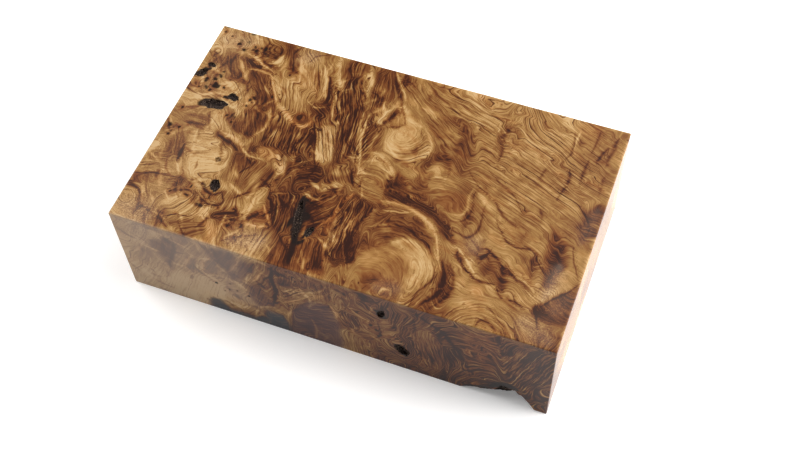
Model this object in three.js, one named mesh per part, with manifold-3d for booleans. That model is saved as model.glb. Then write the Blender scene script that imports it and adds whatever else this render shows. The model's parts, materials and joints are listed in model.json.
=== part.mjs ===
// A stabilised burl block: one resin-hardened piece of burl wood, sawn square and sanded, as a knife maker
// or turner buys it. A bark pocket has left a bite out of the lower front arris, and the larger knots and
// bark seams have left shallow open pits in the sawn faces.
//
// Millimetres. X runs along the block, +Y to the back, +Z up. The origin is the middle of the underside.

import * as THREE from "three";
import { RoundedBoxGeometry } from "three/addons/geometries/RoundedBoxGeometry.js";
import { mergeVertices } from "three/addons/utils/BufferGeometryUtils.js";
import Module from "manifold-3d";

// Driving dimensions of the sawn block.
const LENGTH = 145;
const WIDTH = 84.5;
const HEIGHT = 40.7;
const ARRIS_RADIUS = 0.4;
const ARRIS_SEGMENTS = 2;

// The bark pocket in the lower front arris, as stations along it: X, how deep it reaches into the underside
// behind the front face, and how high it reaches up the front face.
const POCKET_STATIONS = [
  [43.5, 0, 0],
  [47.5, 1.6, 2.6],
  [52.5, 2.4, 4.1],
  [55, 2.9, 5.8],
  [56.6, 3.3, 8.8],
  [59.4, 3.9, 9.6],
  [62.4, 6, 8.1],
  [65.4, 8, 5.2],
  [68.5, 0, 0],
];
const POCKET_STEPS_ALONG = 40;
const POCKET_STEPS_ROUND = 24;
const POCKET_RAGGEDNESS = 0.1;

// Open pits of knots and bark seams. On the top, x and y are the pit's middle; on the front, x and z.
// length and width are across the mouth, turn is the long axis in degrees from +X.
const TOP_PITS = [
  { x: -60.5, y: 8.7, length: 8.6, width: 4.4, turn: 8, depth: 1.6 },
  { x: -55.4, y: 13.4, length: 4.2, width: 2.8, turn: -15, depth: 1.2 },
  { x: -70.3, y: 19.95, length: 4.6, width: 3, turn: 60, depth: 1.4 },
  { x: -68.4, y: 24.2, length: 3.2, width: 1.8, turn: -10, depth: 0.9 },
  { x: -45.4, y: -21.4, length: 4.8, width: 3.2, turn: 110, depth: 1.5 },
  { x: -49.2, y: -11.9, length: 2.4, width: 2, turn: 0, depth: 0.9 },
  { x: -15.6, y: -24.6, length: 14, width: 2.4, turn: 103, depth: 1.5 },
  { x: -10.6, y: -27.8, length: 4.2, width: 2.2, turn: 75, depth: 1 },
];
const FRONT_PITS = [
  { x: 18.3, z: 30.9, length: 4.6, width: 2.6, turn: 80, depth: 1.2 },
  { x: 24.4, z: 12.3, length: 7, width: 4, turn: 118, depth: 1.5 },
];
const PIT_DETAIL = 2;
const PIT_RAGGEDNESS = 0.16;

// Slow waves that make the pocket and the pits ragged, in radians to the millimetre. A pit, or a section of
// the pocket, reaches this far across them from its middle.
const WAVES = [
  { x: 1.9, y: 0, z: 0.7, phase: 0 },
  { x: -1.1, y: 1.3, z: 0, phase: 2 },
  { x: 0, y: 0.9, z: 2.3, phase: 4 },
];
const WAVE_REACH = 2;

const stabilisedBurl = new THREE.MeshStandardMaterial({ color: 0x946a3c, roughness: 0.42, metalness: 0 });

const manifold = await Module();
manifold.setup();

// A closed three.js geometry as a solid that can be cut.
function solidFrom(geometry) {
  const bare = geometry.clone();
  bare.deleteAttribute("normal");
  bare.deleteAttribute("uv");
  const merged = mergeVertices(bare);
  const mesh = new manifold.Mesh({
    numProp: 3,
    vertProperties: merged.attributes.position.array,
    triVerts: new Uint32Array(merged.index.array),
  });
  return new manifold.Manifold(mesh);
}

// A cut solid back as a three.js geometry with flat shading.
function geometryFrom(solid) {
  const mesh = solid.getMesh();
  const indexed = new THREE.BufferGeometry();
  indexed.setAttribute("position", new THREE.BufferAttribute(mesh.vertProperties, mesh.numProp));
  indexed.setIndex(new THREE.BufferAttribute(mesh.triVerts, 1));
  const flat = indexed.toNonIndexed();
  flat.computeVertexNormals();
  return flat;
}

// How uneven a torn or grown surface is at a place, from -1 to 1.
function unevenness(x, y, z) {
  const heights = WAVES.map((wave) => Math.sin(wave.x * x + wave.y * y + wave.z * z + wave.phase));
  return heights.reduce((sum, height) => sum + height) / WAVES.length;
}

function movePoints(geometry, move) {
  const position = geometry.getAttribute("position");
  const point = new THREE.Vector3();
  for (let i = 0; i < position.count; i++) {
    move(point.fromBufferAttribute(position, i));
    position.setXYZ(i, point.x, point.y, point.z);
  }
  return geometry;
}

function sawnBlock() {
  const block = new RoundedBoxGeometry(LENGTH, WIDTH, HEIGHT, ARRIS_SEGMENTS, ARRIS_RADIUS);
  return block.translate(0, 0, HEIGHT / 2);
}

// The space that the bark left: a sphere with its poles along X, drawn out so that its section at each
// station is an ellipse about the arris.
function barkPocket() {
  const stations = POCKET_STATIONS.map((station) => new THREE.Vector3(...station));
  const course = new THREE.CatmullRomCurve3(stations);
  const space = new THREE.SphereGeometry(1, POCKET_STEPS_ROUND, POCKET_STEPS_ALONG);
  space.rotateZ(-Math.PI / 2);
  return movePoints(space, (p) => {
    const { x, y: depth, z: height } = course.getPoint((p.x + 1) / 2);
    const around = Math.atan2(p.z, p.y);
    const back = Math.cos(around);
    const up = Math.sin(around);
    const ragged = 1 + POCKET_RAGGEDNESS * unevenness(x, WAVE_REACH * back, WAVE_REACH * up);
    p.set(x, depth * ragged * back - WIDTH / 2, height * ragged * up);
  });
}

// A ragged lens at the origin, whose lower half is the pit's dish. Each pit's sizes set it elsewhere among
// the waves, so that no two are alike.
function pitDish({ length, width, depth, turn }) {
  const dish = new THREE.IcosahedronGeometry(1, PIT_DETAIL);
  movePoints(dish, (p) => {
    const place = p.clone().multiplyScalar(WAVE_REACH);
    const ragged = 1 + PIT_RAGGEDNESS * unevenness(place.x + length, place.y + width, place.z);
    p.multiplyScalar(ragged);
  });
  return dish.scale(length / 2, width / 2, depth).rotateZ(THREE.MathUtils.degToRad(turn));
}

function topPit(pit) {
  return pitDish(pit).translate(pit.x, pit.y, HEIGHT);
}

function frontPit(pit) {
  return pitDish(pit)
    .rotateX(Math.PI / 2)
    .translate(pit.x, -WIDTH / 2, pit.z);
}

function burlBlock() {
  const hollows = [barkPocket(), ...TOP_PITS.map(topPit), ...FRONT_PITS.map(frontPit)];
  const cut = hollows.reduce((block, hollow) => block.subtract(solidFrom(hollow)), solidFrom(sawnBlock()));
  const mesh = new THREE.Mesh(geometryFrom(cut), stabilisedBurl);
  mesh.name = "burl_block";
  return mesh;
}

const part = new THREE.Group();
part.add(burlBlock());

export default part;
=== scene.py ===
"""A stabilised burl block, sawn square and sanded, with its figure, its bark pocket and a studio stage.

The block is one piece of wood. Its figure is worked out as growth: layers that swell over eyes and pillows,
shaded by facets and strokes where the fibre leans to or from the light, and drawn where the saw cut through
them. The figure is measured in millimetres on the block's faces, and everything in the scene is in metres.
"""

import json
import math
from typing import NamedTuple

import bmesh
import bpy
import numpy as np
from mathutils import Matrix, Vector, noise

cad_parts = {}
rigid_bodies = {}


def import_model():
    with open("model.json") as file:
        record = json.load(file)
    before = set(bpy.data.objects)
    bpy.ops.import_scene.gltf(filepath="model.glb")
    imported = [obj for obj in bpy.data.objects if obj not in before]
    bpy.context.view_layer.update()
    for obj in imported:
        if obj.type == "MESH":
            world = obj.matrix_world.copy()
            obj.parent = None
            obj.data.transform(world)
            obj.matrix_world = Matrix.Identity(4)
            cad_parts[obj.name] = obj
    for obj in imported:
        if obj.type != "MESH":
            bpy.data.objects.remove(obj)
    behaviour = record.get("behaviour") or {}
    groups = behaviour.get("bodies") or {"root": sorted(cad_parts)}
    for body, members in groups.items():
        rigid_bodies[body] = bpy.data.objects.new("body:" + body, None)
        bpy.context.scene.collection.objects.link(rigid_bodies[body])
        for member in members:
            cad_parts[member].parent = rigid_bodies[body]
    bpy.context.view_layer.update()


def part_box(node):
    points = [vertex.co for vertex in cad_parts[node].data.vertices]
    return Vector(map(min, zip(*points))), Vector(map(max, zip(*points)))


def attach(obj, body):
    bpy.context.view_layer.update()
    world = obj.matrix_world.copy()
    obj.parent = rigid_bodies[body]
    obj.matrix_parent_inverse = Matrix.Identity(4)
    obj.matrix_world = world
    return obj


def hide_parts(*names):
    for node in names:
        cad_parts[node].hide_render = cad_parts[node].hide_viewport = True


bl_info = {
    "name": "Stabilised Burl Block",
    "version": (1, 0, 0),
    "blender": (4, 5, 0),
    "location": "View3D > Sidebar > Burl Block",
    "description": "Builds a sawn and sanded burl block with its figure, bark pocket and studio stage",
    "category": "Object",
}

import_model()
BLOCK_LOW, BLOCK_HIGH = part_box("burl_block")

MM = 0.001
LENGTH, WIDTH, HEIGHT = (BLOCK_HIGH - BLOCK_LOW) / MM
SEED = 20


def linear(hex_colour):
    """An sRGB hex colour as linear red, green and blue."""
    values = [int(hex_colour[i : i + 2], 16) / 255 for i in (1, 3, 5)]
    return tuple(v / 12.92 if v <= 0.04045 else ((v + 0.055) / 1.055) ** 2.4 for v in values)


# Faces of the block, as someone who looks straight at each one sees it: its left top corner, and the
# directions to the right and down across it.
class Face(NamedTuple):
    corner: tuple
    along: tuple
    down: tuple

    def points(self, marks):
        """Places measured on the face, in millimetres along and down, as points of the block."""
        marks = np.asarray(marks, float).reshape(-1, 2)
        return np.asarray(self.corner) + marks @ np.array([self.along, self.down], float)

    def normal(self):
        """The direction out of the block."""
        return np.cross(self.down, self.along)

    def turned(self, degrees):
        """Two directions on the face: one turned up from its right, and the one across it."""
        turn = math.radians(degrees)
        along = np.asarray(self.along) * math.cos(turn) - np.asarray(self.down) * math.sin(turn)
        return along, np.cross(self.normal(), along)

    def size(self):
        """How far the face reaches along and down, in millimetres."""
        extent = np.array([LENGTH, WIDTH, HEIGHT])
        return abs(np.asarray(self.along)) @ extent, abs(np.asarray(self.down)) @ extent


LEFT, RIGHT = -LENGTH / 2, LENGTH / 2
FRONT, BACK = -WIDTH / 2, WIDTH / 2
FACES = {
    "top": Face((LEFT, BACK, HEIGHT), (1, 0, 0), (0, -1, 0)),
    "front": Face((LEFT, FRONT, HEIGHT), (1, 0, 0), (0, 0, -1)),
    "back": Face((RIGHT, BACK, HEIGHT), (-1, 0, 0), (0, 0, -1)),
    "left end": Face((LEFT, BACK, HEIGHT), (0, -1, 0), (0, 0, -1)),
    "right end": Face((RIGHT, FRONT, HEIGHT), (0, 1, 0), (0, 0, -1)),
    "underside": Face((LEFT, FRONT, 0), (1, 0, 0), (0, 1, 0)),
}


# The bark pocket in the lower front arris, as stations along it: X, how deep it reaches into the underside
# behind the front face, and how high it reaches up the front face. Millimetres.
POCKET_STATIONS = (
    (43.5, 0, 0),
    (47.5, 1.6, 2.6),
    (52.5, 2.4, 4.1),
    (55, 2.9, 5.8),
    (56.6, 3.3, 8.8),
    (59.4, 3.9, 9.6),
    (62.4, 6, 8.1),
    (65.4, 8, 5.2),
    (68.5, 0, 0),
)


# An open pit of a knot or bark seam: its middle on the face, its length and width across the mouth, the turn
# of its long axis in degrees from the face's right, upwards, and its depth.
class Pit(NamedTuple):
    middle: tuple
    length: float
    width: float
    turn: float
    depth: float
    lining: str = "bark"


PITS = {
    "top": (
        Pit((12, 33.55), 8.6, 4.4, 8, 1.6),
        Pit((17.1, 28.85), 4.2, 2.8, -15, 1.2),
        Pit((2.2, 22.3), 4.6, 3, 60, 1.4),
        Pit((4.1, 18.05), 3.2, 1.8, -10, 0.9),
        Pit((27.1, 63.65), 4.8, 3.2, 110, 1.5),
        Pit((23.3, 54.15), 2.4, 2, 0, 0.9, lining="wood"),
        Pit((56.9, 66.85), 14, 2.4, 103, 1.5),
        Pit((61.9, 70.05), 4.2, 2.2, 75, 1),
    ),
    "front": (
        Pit((90.8, 9.8), 4.6, 2.6, 80, 1.2),
        Pit((96.9, 28.4), 7, 4, 118, 1.5),
    ),
}


# A stroke of lighter or darker wood, where the fibre leans to or from the light: the line it follows on its
# face, its half width in the middle, its tone from dark (below 0) to light, and how orange it glows, a
# painted golden sheen. A crisp stroke has a flat middle and sharp sides.
class Stroke(NamedTuple):
    path: tuple
    width: float
    tone: float
    glow: float = 0
    crisp: float = 1


# A swelling of the growth layers, drawn as rings where the saw cut it: its middle on the face, its radii
# along and across its turn in degrees, and how far the layers rise.
class Eye(NamedTuple):
    middle: tuple
    radii: tuple
    turn: float
    rise: float


# A facet of lighter or darker wood, where a whole bundle of fibre was cut at one slant: its outline on the
# face, its tone from dark (below 0) to light, the turn of its fibre in degrees from the face's right,
# upwards, how orange it glows, a painted golden sheen, and how far its edge fades. Where its layers are cut
# in rings, it has the middle of the rings in place of a turn. With neither, its fibre runs as the wood round
# it does.
class Facet(NamedTuple):
    outline: tuple
    tone: float
    turn: float = None
    glow: float = 0
    soft: float = 0.8
    rings: tuple = None


TOP_FACETS = (
    # Left back corner.
    Facet(((0, 0), (22, 0), (17, 6), (13, 9), (6, 9), (5, 13), (2, 13)), 0.45, soft=1.5),
    Facet(((3, 10), (6, 10), (7, 15), (10, 20), (6, 21), (3, 18)), 0.3, soft=1),
    Facet(
        ((5.5, 10), (11, 10.5), (17, 11.2), (22, 13.2), (17.5, 15.2), (16, 17), (18.5, 21), (13, 21),
         (7, 15)),
        -0.4, turn=-60, soft=0.9,
    ),
    Facet(((13, 10.6), (17, 11.6), (21, 13), (26.5, 14.2), (23, 15), (18, 14)), -0.4, turn=-18),
    Facet(
        ((24, 0), (28, 1.5), (30, 5), (32.5, 10), (32, 13), (30, 12), (27.5, 10), (26, 6.5)),
        -0.45, turn=-62,
    ),
    Facet(((33, 9), (41, 9), (43, 17), (36, 18), (32, 15)), 0.2, turn=-70, glow=0.2, soft=1),
    Facet(((19, 1.5), (23, 0.5), (25, 3), (24.5, 6.5), (22, 9), (19, 8.5), (17.8, 5.5)), 0.05, soft=0.9),
    Facet(((22.5, 9.6), (24, 8), (25.2, 6), (26, 9), (24.5, 11.2), (22.5, 11)), 0.45, soft=0.4),
    Facet(((23.3, 11), (26, 10.4), (27, 12.5), (25, 13.4)), -0.4),
    Facet(
        ((16.5, 16), (19, 15.2), (24, 15.5), (27, 19), (30, 23.5), (32, 27), (31, 29), (28, 28.5),
         (22, 23), (18, 18.5)),
        -0.75, turn=-52,
    ),
    Facet(
        ((27, 15.5), (33, 15), (36, 17), (39, 21), (42.5, 26), (41, 27.5), (38, 28.5), (34, 27.5), (31, 23)),
        0.25, turn=-68,
    ),
    Facet(((30, 1), (36, 0), (40, 2), (41, 8), (37, 12), (34, 9), (31, 4)), 0.3, turn=-70, soft=1),
    Facet(((41.5, 22.5), (44, 21), (48, 21.5), (50, 23), (50, 27), (47, 27.5), (44.5, 25.5)), -0.2, turn=-30),
    Facet(((44, 27), (50, 26.5), (53, 29), (49, 31.5), (45.5, 31.5)), -0.4, turn=-60),
    Facet(((12, 0), (40, 0), (41, 20), (30, 24), (18, 26), (14, 14)), 0.2, soft=3),
    Facet(((46, 19), (53, 19), (54, 27), (48, 28)), -0.35),
    # Pale wood between the left knots, and the dark facets right of them.
    Facet(((11, 23), (15, 22), (20, 25), (26, 28.5), (22, 31), (19, 33), (15, 26.5)), 0.45),
    Facet(((5, 29), (10, 28.5), (14, 27), (15, 30), (8, 31)), 0.3),
    Facet(((0, 30), (6, 31.5), (7, 36), (3, 38), (0, 37)), 0.3),
    Facet(((14, 36), (18, 34.5), (21, 38), (23, 42), (15, 44), (13, 41)), 0.3),
    Facet(((2.5, 40), (6, 38.5), (12, 38.5), (13.5, 41), (12, 43), (6, 43)), -0.15, turn=10),
    Facet(
        ((23, 31.5), (27, 31), (31.5, 31), (32, 36), (31, 40), (28.5, 42.5), (25, 42), (21, 40),
         (19.5, 38), (22, 35)),
        -0.85, turn=-70,
    ),
    Facet(
        ((33, 29.5), (40, 32.5), (43.5, 33.5), (48.5, 31.5), (50.5, 38), (52, 43), (50, 46), (40, 44),
         (34, 45)),
        -0.85, turn=-85,
    ),
    Facet(((25.8, 29), (28, 28), (30, 29.5), (29.5, 31.3), (27, 31.2)), -0.6, glow=0.4),
    # Golden pillow and the folds round it.
    Facet(((9.5, 46.5), (13, 44.5), (18, 43.5), (22, 47.5), (20, 51), (14, 52), (10.8, 50)), 0.4, turn=15),
    Facet(
        ((11, 51), (20, 50.5), (25, 49.5), (27, 52), (27, 56), (25.5, 60), (22, 63), (18.5, 62.5),
         (15, 60), (12, 56)),
        0.45, turn=15, soft=1.5,
    ),
    Facet(((4, 46), (8, 46), (10.4, 50), (11, 57), (8, 58), (5, 53)), -0.35, turn=-65, soft=1.2),
    Facet(((0, 42), (10, 44), (9, 50), (4, 55), (0, 54)), 0.1, soft=1.5),
    Facet(((0, 50), (3, 50.5), (4.5, 55), (2, 57.5), (0, 57)), 0.3, soft=0.9),
    Facet(((0, 58), (9, 57), (10, 60), (5, 62), (0, 62.5)), -0.3, soft=1.2),
    Facet(((15, 40), (25, 40), (27, 46), (26, 58), (30, 66), (36, 74), (20, 76), (16, 60)), 0.22, soft=3),
    Facet(((3, 57.8), (8.5, 57.5), (9, 60.5), (4, 61.5)), -0.2, turn=10, soft=0.9),
    Facet(((0, 61), (9, 61), (14, 63), (6, 66), (0, 67)), 0.35, turn=12, soft=1),
    Facet(
        ((27, 46.5), (31, 47.5), (34.5, 50), (34.5, 53), (32.5, 56.5), (29, 57), (27, 54)),
        -0.45, turn=-70,
    ),
    Facet(
        ((18.5, 43.2), (23, 44.6), (27, 46.5), (30, 49.5), (27, 49), (22.5, 47.5), (19, 45.8)),
        -0.35, turn=-25,
    ),
    Facet(((31, 44.5), (34, 45), (34.5, 47.5), (32, 48.2)), -0.45),
    Facet(((34.5, 44), (41, 43.8), (42, 47), (39, 49.3), (35, 48.5)), 0.1, glow=0.4),
    Facet(((40.5, 44.5), (43, 46), (45, 49), (46.5, 53), (44, 53), (42, 50), (41, 47)), 0.4),
    Facet(((35, 50), (40, 49.5), (43.5, 53.5), (42, 58), (38, 63), (35, 62), (34, 57)), -0.2, turn=70),
    Facet(((37.8, 54), (40.2, 53.5), (40, 58), (37.8, 60)), 0.3, turn=70, soft=0.9),
    Facet(((40.5, 60), (44, 59), (45, 63), (42.5, 66), (40.5, 64)), 0.05, turn=70, soft=0.9),
    Facet(((33, 62), (40, 63), (42, 69), (38, 70), (33, 67)), 0.05, soft=1),
    # Left front.
    Facet(((43, 68), (45, 66), (48.5, 69.5), (47.5, 72), (44.5, 73.5), (42, 71)), -0.6, glow=0.4),
    Facet(((31, 73.5), (34, 71), (37, 69.5), (40, 71.5), (38, 73.5), (34, 75), (31, 75.5)), -0.65, turn=20),
    Facet(((15.5, 63.8), (18, 63.8), (20.5, 66), (21, 68.5), (18, 70), (16.5, 68)), -0.45),
    Facet(((6, 66.8), (14.5, 65.2), (16, 69.5), (12, 71.5), (6, 70.5)), 0.0, turn=12),
    Facet(((17, 70.5), (24, 71), (30, 72), (29, 76), (20, 78), (15, 75)), 0.4, soft=1.2),
    Facet(((17, 60), (23, 63), (25, 67), (24, 71), (19, 70), (17, 64)), 0.3),
    Facet(
        ((19, 80.5), (23, 79.5), (26.5, 77), (30, 75.5), (32, 79), (31.5, 83), (25, 84), (21, 83)),
        -0.4, turn=15,
    ),
    Facet(((31, 76), (36, 77.5), (36, 82), (32.5, 84), (31.5, 80)), 0.2, glow=0.4),
    Facet(((33, 75.3), (39.5, 74.8), (40.5, 77.5), (36, 78.5)), -0.25, glow=0.3),
    Facet(((0, 70), (5, 70), (9, 75), (10, 79), (6, 84), (0, 84)), 0.12, soft=1.5, rings=(2, 77)),
    Facet(((38, 84), (41, 79), (47, 75), (53, 77), (52, 84)), 0.1, soft=1.5),
    Facet(((21, 66.2), (25, 66.6), (28, 69), (30.5, 69.5), (27, 70.6), (22.5, 69)), 0.0, turn=-25),
    # Steep flames behind the middle.
    Facet(((44, 9), (46, 14), (48, 19.5), (46, 20.5), (44, 16), (42.6, 11)), -0.4, turn=-68),
    Facet(((46.5, 12), (49, 13.5), (51, 20), (50, 23.5), (47.5, 20.5)), -0.5, turn=-68),
    Facet(((48.6, 2), (52.5, 0), (54.5, 3), (56, 9), (52, 13), (49.5, 9)), -0.4, turn=-75, soft=1),
    Facet(
        ((51, 9), (55, 6), (57.5, 12), (60, 15), (60, 20), (57, 25), (53, 27), (50.5, 23), (50, 16)),
        -0.75, turn=-65, soft=1,
    ),
    Facet(
        ((58.5, 3), (63, 1.5), (66, 5), (69.5, 10.5), (67, 15), (63, 18), (60, 15), (59.3, 9)),
        -0.3, turn=-80, soft=1.2,
    ),
    Facet(((60, 13), (66, 12), (67.5, 16), (65, 20), (61, 20)), -0.45, turn=-80),
    Facet(
        ((47.5, 32), (51, 29.5), (54, 29), (56.5, 36), (58.5, 42), (57, 44.5), (53, 44), (50, 38)),
        0.65, turn=-62,
    ),
    Facet(
        ((55, 24), (60, 19), (61, 24), (62.5, 30), (63.5, 36), (62, 42), (59, 44), (58, 38), (56, 31)),
        -0.85, turn=-80,
    ),
    Facet(((64, 20), (66, 22), (66, 28), (66.8, 36), (65, 34), (63.8, 26)), -0.65, turn=-82),
    # The kite, the pale teardrop and the brown bands behind it.
    Facet(
        ((74, 14), (79, 17), (84, 22), (87.5, 27), (87, 32), (83, 36), (77, 37), (71, 34), (70, 29),
         (73, 24)),
        0.0, soft=1.2, rings=(76, 24),
    ),
    Facet(
        ((64, 38), (69, 35), (75, 36.5), (79.5, 41), (79, 48), (72, 47), (66, 46)),
        0.0, soft=1, rings=(71.5, 51),
    ),
    Facet(
        ((69.5, 13.5), (68, 15), (66.3, 19), (66, 23), (68.5, 23), (69.3, 20), (68.7, 18)),
        0.15, turn=75, soft=0.4,
    ),
    Facet(((70, 13), (71, 15), (70.8, 20), (70, 23), (68, 24.5), (69.5, 21)), -0.5, soft=0.4),
    Facet(((71, 12.5), (73.2, 16), (75.5, 20.5), (73, 22), (70.5, 23.5), (71, 18)), 0.05, turn=-65, glow=0.2),
    Facet(
        ((72.5, 13), (75, 14.5), (78, 18), (80.5, 22), (82, 26), (81.5, 30), (79, 33.5), (76, 36),
         (73, 35), (71, 31), (70, 28), (71, 25), (75.5, 21.5)),
        0.42,
    ),
    Facet(
        ((79, 17.5), (83, 22), (86, 27), (86, 31), (82, 34.5), (79, 36.5), (80.5, 33), (83, 29.5),
         (82.5, 25)),
        0.4,
    ),
    Facet(((94, 20), (99, 21), (102, 27), (99, 34), (95, 29)), -0.35, turn=-55, soft=1.2),
    Facet(
        ((64, 1), (70, 3), (78, 8), (86, 13), (92, 18), (95, 27), (90, 25.5), (85, 20), (79, 15),
         (73, 11), (68, 7)),
        -0.15, turn=-38, soft=1.2,
    ),
    Facet(((76, 4.5), (83, 8.5), (91, 14), (95, 18), (89, 15.5), (82, 11)), -0.3, turn=-36, soft=1),
    Facet(
        ((92, 13), (96, 14), (98.5, 18), (100.5, 23), (99.5, 27), (97.5, 24), (95, 20), (93, 16)),
        -0.6, turn=-60, soft=1.2,
    ),
    Facet(
        ((87.5, 26), (90, 24), (92, 27), (92.5, 30), (90, 33), (88, 36), (85.5, 35.5), (87, 31)),
        -0.3, soft=0.9,
    ),
    Facet(((86, 29), (93, 28), (94.5, 33), (94.8, 37.5), (91.5, 38.5), (90, 41), (86, 40)), -0.3, soft=0.5),
    Facet(((88.5, 33), (91.5, 31.5), (93.8, 34), (93, 36.5), (89, 37)), 0.35),
    Facet(((95, 28), (101, 31), (104, 37), (103.5, 41), (96, 41), (95.5, 36)), -0.2, soft=1.2),
    Facet(((86, 42), (100, 43), (102, 50), (90, 48)), -0.25, soft=1.5),
    Facet(((78, 42), (80.5, 40), (82.5, 41), (86, 40), (92, 42.5), (86, 45.5), (79, 46)), -0.35),
    Facet(((83, 33), (87, 35), (88, 40), (84, 41), (80, 38)), 0.15),
    Facet(((63, 23), (70, 24), (71.5, 31), (70, 37), (68, 42), (65, 41), (63, 34)), -0.4, turn=70),
    Facet(((66, 37), (72, 34.5), (79, 39), (80, 44), (72, 46), (68, 43)), 0.1),
    # The arch over the bark seam and the red wood beside it.
    Facet(
        ((46, 48), (58, 46), (67, 52), (79, 54), (77, 64), (78, 76), (72, 82), (55, 82), (50, 72), (46, 62)),
        -0.25, soft=2.5,
    ),
    Facet(
        ((45.5, 62), (46.3, 54), (48.5, 48.5), (51, 45.5), (48, 43.5), (46, 47), (44.6, 55)),
        -0.75, rings=(55, 58),
    ),
    Facet(
        ((49, 51), (51.5, 46.5), (56, 46), (58.5, 48.5), (57, 53), (54.5, 57), (52, 59), (50, 57)),
        -1.1, rings=(55, 58),
    ),
    Facet(
        ((47.5, 58), (52, 58), (55.5, 57), (56, 62), (55.5, 66), (56.5, 71), (54, 73), (51, 72), (48.5, 66)),
        -0.85, turn=-80, soft=0.9,
    ),
    Facet(((44.5, 60), (48, 60), (50, 66), (51, 71), (48, 69.5), (45.5, 65.5)), -0.6, turn=-70),
    Facet(
        ((57, 61), (60, 55), (66, 50.5), (67.5, 53), (66, 60), (65, 66), (63, 70), (58, 71), (57.3, 65)),
        -0.95, turn=45, glow=0.15,
    ),
    Facet(((59, 51.5), (65, 49), (66.5, 53.5), (60, 56)), 0.55, soft=1),
    Facet(((66, 54), (69.5, 53), (68.5, 62), (67.5, 70), (64.5, 71), (66, 62)), -0.6, turn=-85, glow=0.5),
    Facet(((59, 44), (66, 43), (68, 47), (66, 50), (60, 50.5), (58.8, 48)), -0.3, turn=-50),
    Facet(
        ((69.5, 51.5), (77.5, 54), (76, 62), (78, 68), (79, 75.5), (74, 79), (70, 76), (67.8, 66)),
        -1.15, turn=-88, glow=0.15,
    ),
    Facet(((59, 73), (64, 71), (68, 70), (71, 78), (73, 84), (60, 84)), -0.4, turn=-78, glow=0.25),
    Facet(((54, 73.5), (58, 73), (60.5, 78), (62, 84), (54.5, 84)), -0.4, turn=-78, glow=0.3),
    Facet(((74, 77), (79, 75), (80, 84), (75, 84)), -0.2, turn=-70),
    # The large bullseye at the front.
    Facet(
        ((79, 63), (83, 55), (91, 52), (99, 56.5), (104, 64), (105, 75), (102, 84), (95, 84), (96, 75),
         (94, 68.5), (88, 67), (82, 70)),
        0.0, soft=1.2, rings=(88, 75),
    ),
    Facet(
        ((78, 43.5), (86, 44), (93, 46), (98, 50.5), (102.5, 54.5), (105, 59), (100, 56.5), (97, 53),
         (90, 50), (79, 49)),
        -0.95,
    ),
    Facet(((79, 49), (88, 49.5), (95, 52), (93, 53), (86, 51.5), (79, 51)), -0.4),
    Facet(
        ((79, 53), (84, 52), (92, 54), (99, 59.5), (102, 66), (97, 61.5), (91, 58.5), (84, 59), (79.5, 61.5)),
        -0.4,
    ),
    Facet(
        ((79, 62.5), (83, 58.7), (88, 57.5), (94, 58.5), (99, 62), (102.5, 67), (97.5, 63.5), (92, 60.5),
         (86, 60.5)),
        -0.7,
    ),
    Facet(((99, 61), (103, 65), (104, 71), (101.5, 74), (100.5, 68)), 0.5),
    Facet(((79, 62), (86, 61), (92, 62), (88, 65), (82, 70), (79, 70)), -0.35, soft=1),
    Facet(
        ((85, 65), (90, 62.5), (95, 61.5), (99.5, 64), (102.5, 69), (102.5, 75), (100, 84), (96, 84),
         (96.5, 75), (95, 69), (92, 66.5)),
        0.3,
    ),
    Facet(((81, 66), (88, 66.5), (93, 66.5), (95.5, 70), (96, 80), (84, 81), (80, 73)), -0.12, glow=0.2),
    Facet(((82, 78), (96, 78), (95, 84), (82, 84)), -0.2, soft=1.2),
    Facet(
        ((103.5, 65), (107, 67), (110, 72), (110, 79), (106.5, 84), (102, 84), (104.5, 78), (105.5, 72)),
        -0.3, soft=0.9,
    ),
    Facet(((99.5, 76), (103, 74), (104, 79), (102, 84), (98.5, 84)), -0.15, soft=0.9),
    # Right back: straight pale wood.
    Facet(((100, 22), (145, 16), (145, 40), (128, 44), (112, 44)), 0.12, soft=4),
    Facet(((78, 0), (126, 0), (130, 10), (126, 20), (112, 22), (98, 16)), 0.3, soft=4),
    Facet(((127, 0), (137, 0), (136, 9), (131, 12), (127.5, 8)), 0.1, soft=1.5),
    Facet(((145, 28), (145, 39), (141.5, 45), (139, 41), (138.5, 36), (142, 32)), -0.6, soft=1.6),
    Facet(((106, 9), (110, 8), (108.5, 14), (109, 24), (106.5, 24), (105.5, 15)), -0.2, soft=0.9),
    Facet(((110.3, 12.5), (112.5, 13), (112, 17.5), (110, 16.5)), -0.3, soft=0.9),
    # Right middle and front.
    Facet(
        ((108, 84), (111, 79), (116, 75.5), (123, 74.5), (130, 77), (135, 84)),
        0.0, soft=1, rings=(122, 89),
    ),
    Facet(((112, 44), (128, 44), (132, 56), (130, 76), (114, 76), (111, 60)), 0.05, soft=2.5),
    Facet(((95, 41), (104, 41), (104.8, 45), (103.5, 48.5), (99, 48.5), (95, 46)), -0.15, glow=0.25),
    Facet(((105.5, 46), (108, 45.5), (109, 49.5), (107, 53), (104.5, 51.5)), -0.15),
    Facet(
        ((116.5, 58.5), (119, 60), (121.5, 62.5), (122, 67), (121.5, 69), (117, 69), (115.5, 66)),
        -0.25, soft=0.9,
    ),
    Facet(((123.8, 65), (129, 65), (130.5, 71), (125.5, 72)), 0.0),
    Facet(((122, 55), (127, 54.5), (128, 59), (124, 60.5)), -0.12),
    Facet(((129.5, 55), (132, 57), (131.5, 63), (129.3, 61.5)), -0.4),
    Facet(((112, 76), (128, 76), (133, 80), (132, 84), (110, 84)), 0.2, soft=2),
    Facet(((134.5, 47), (138, 50), (139, 56), (138, 60), (136, 66), (134, 62)), -0.95, soft=1.2),
    Facet(((132.5, 45), (134.5, 46), (134.8, 56), (133.5, 60), (132, 52)), -0.45, glow=0.3, soft=0.9),
    Facet(
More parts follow.
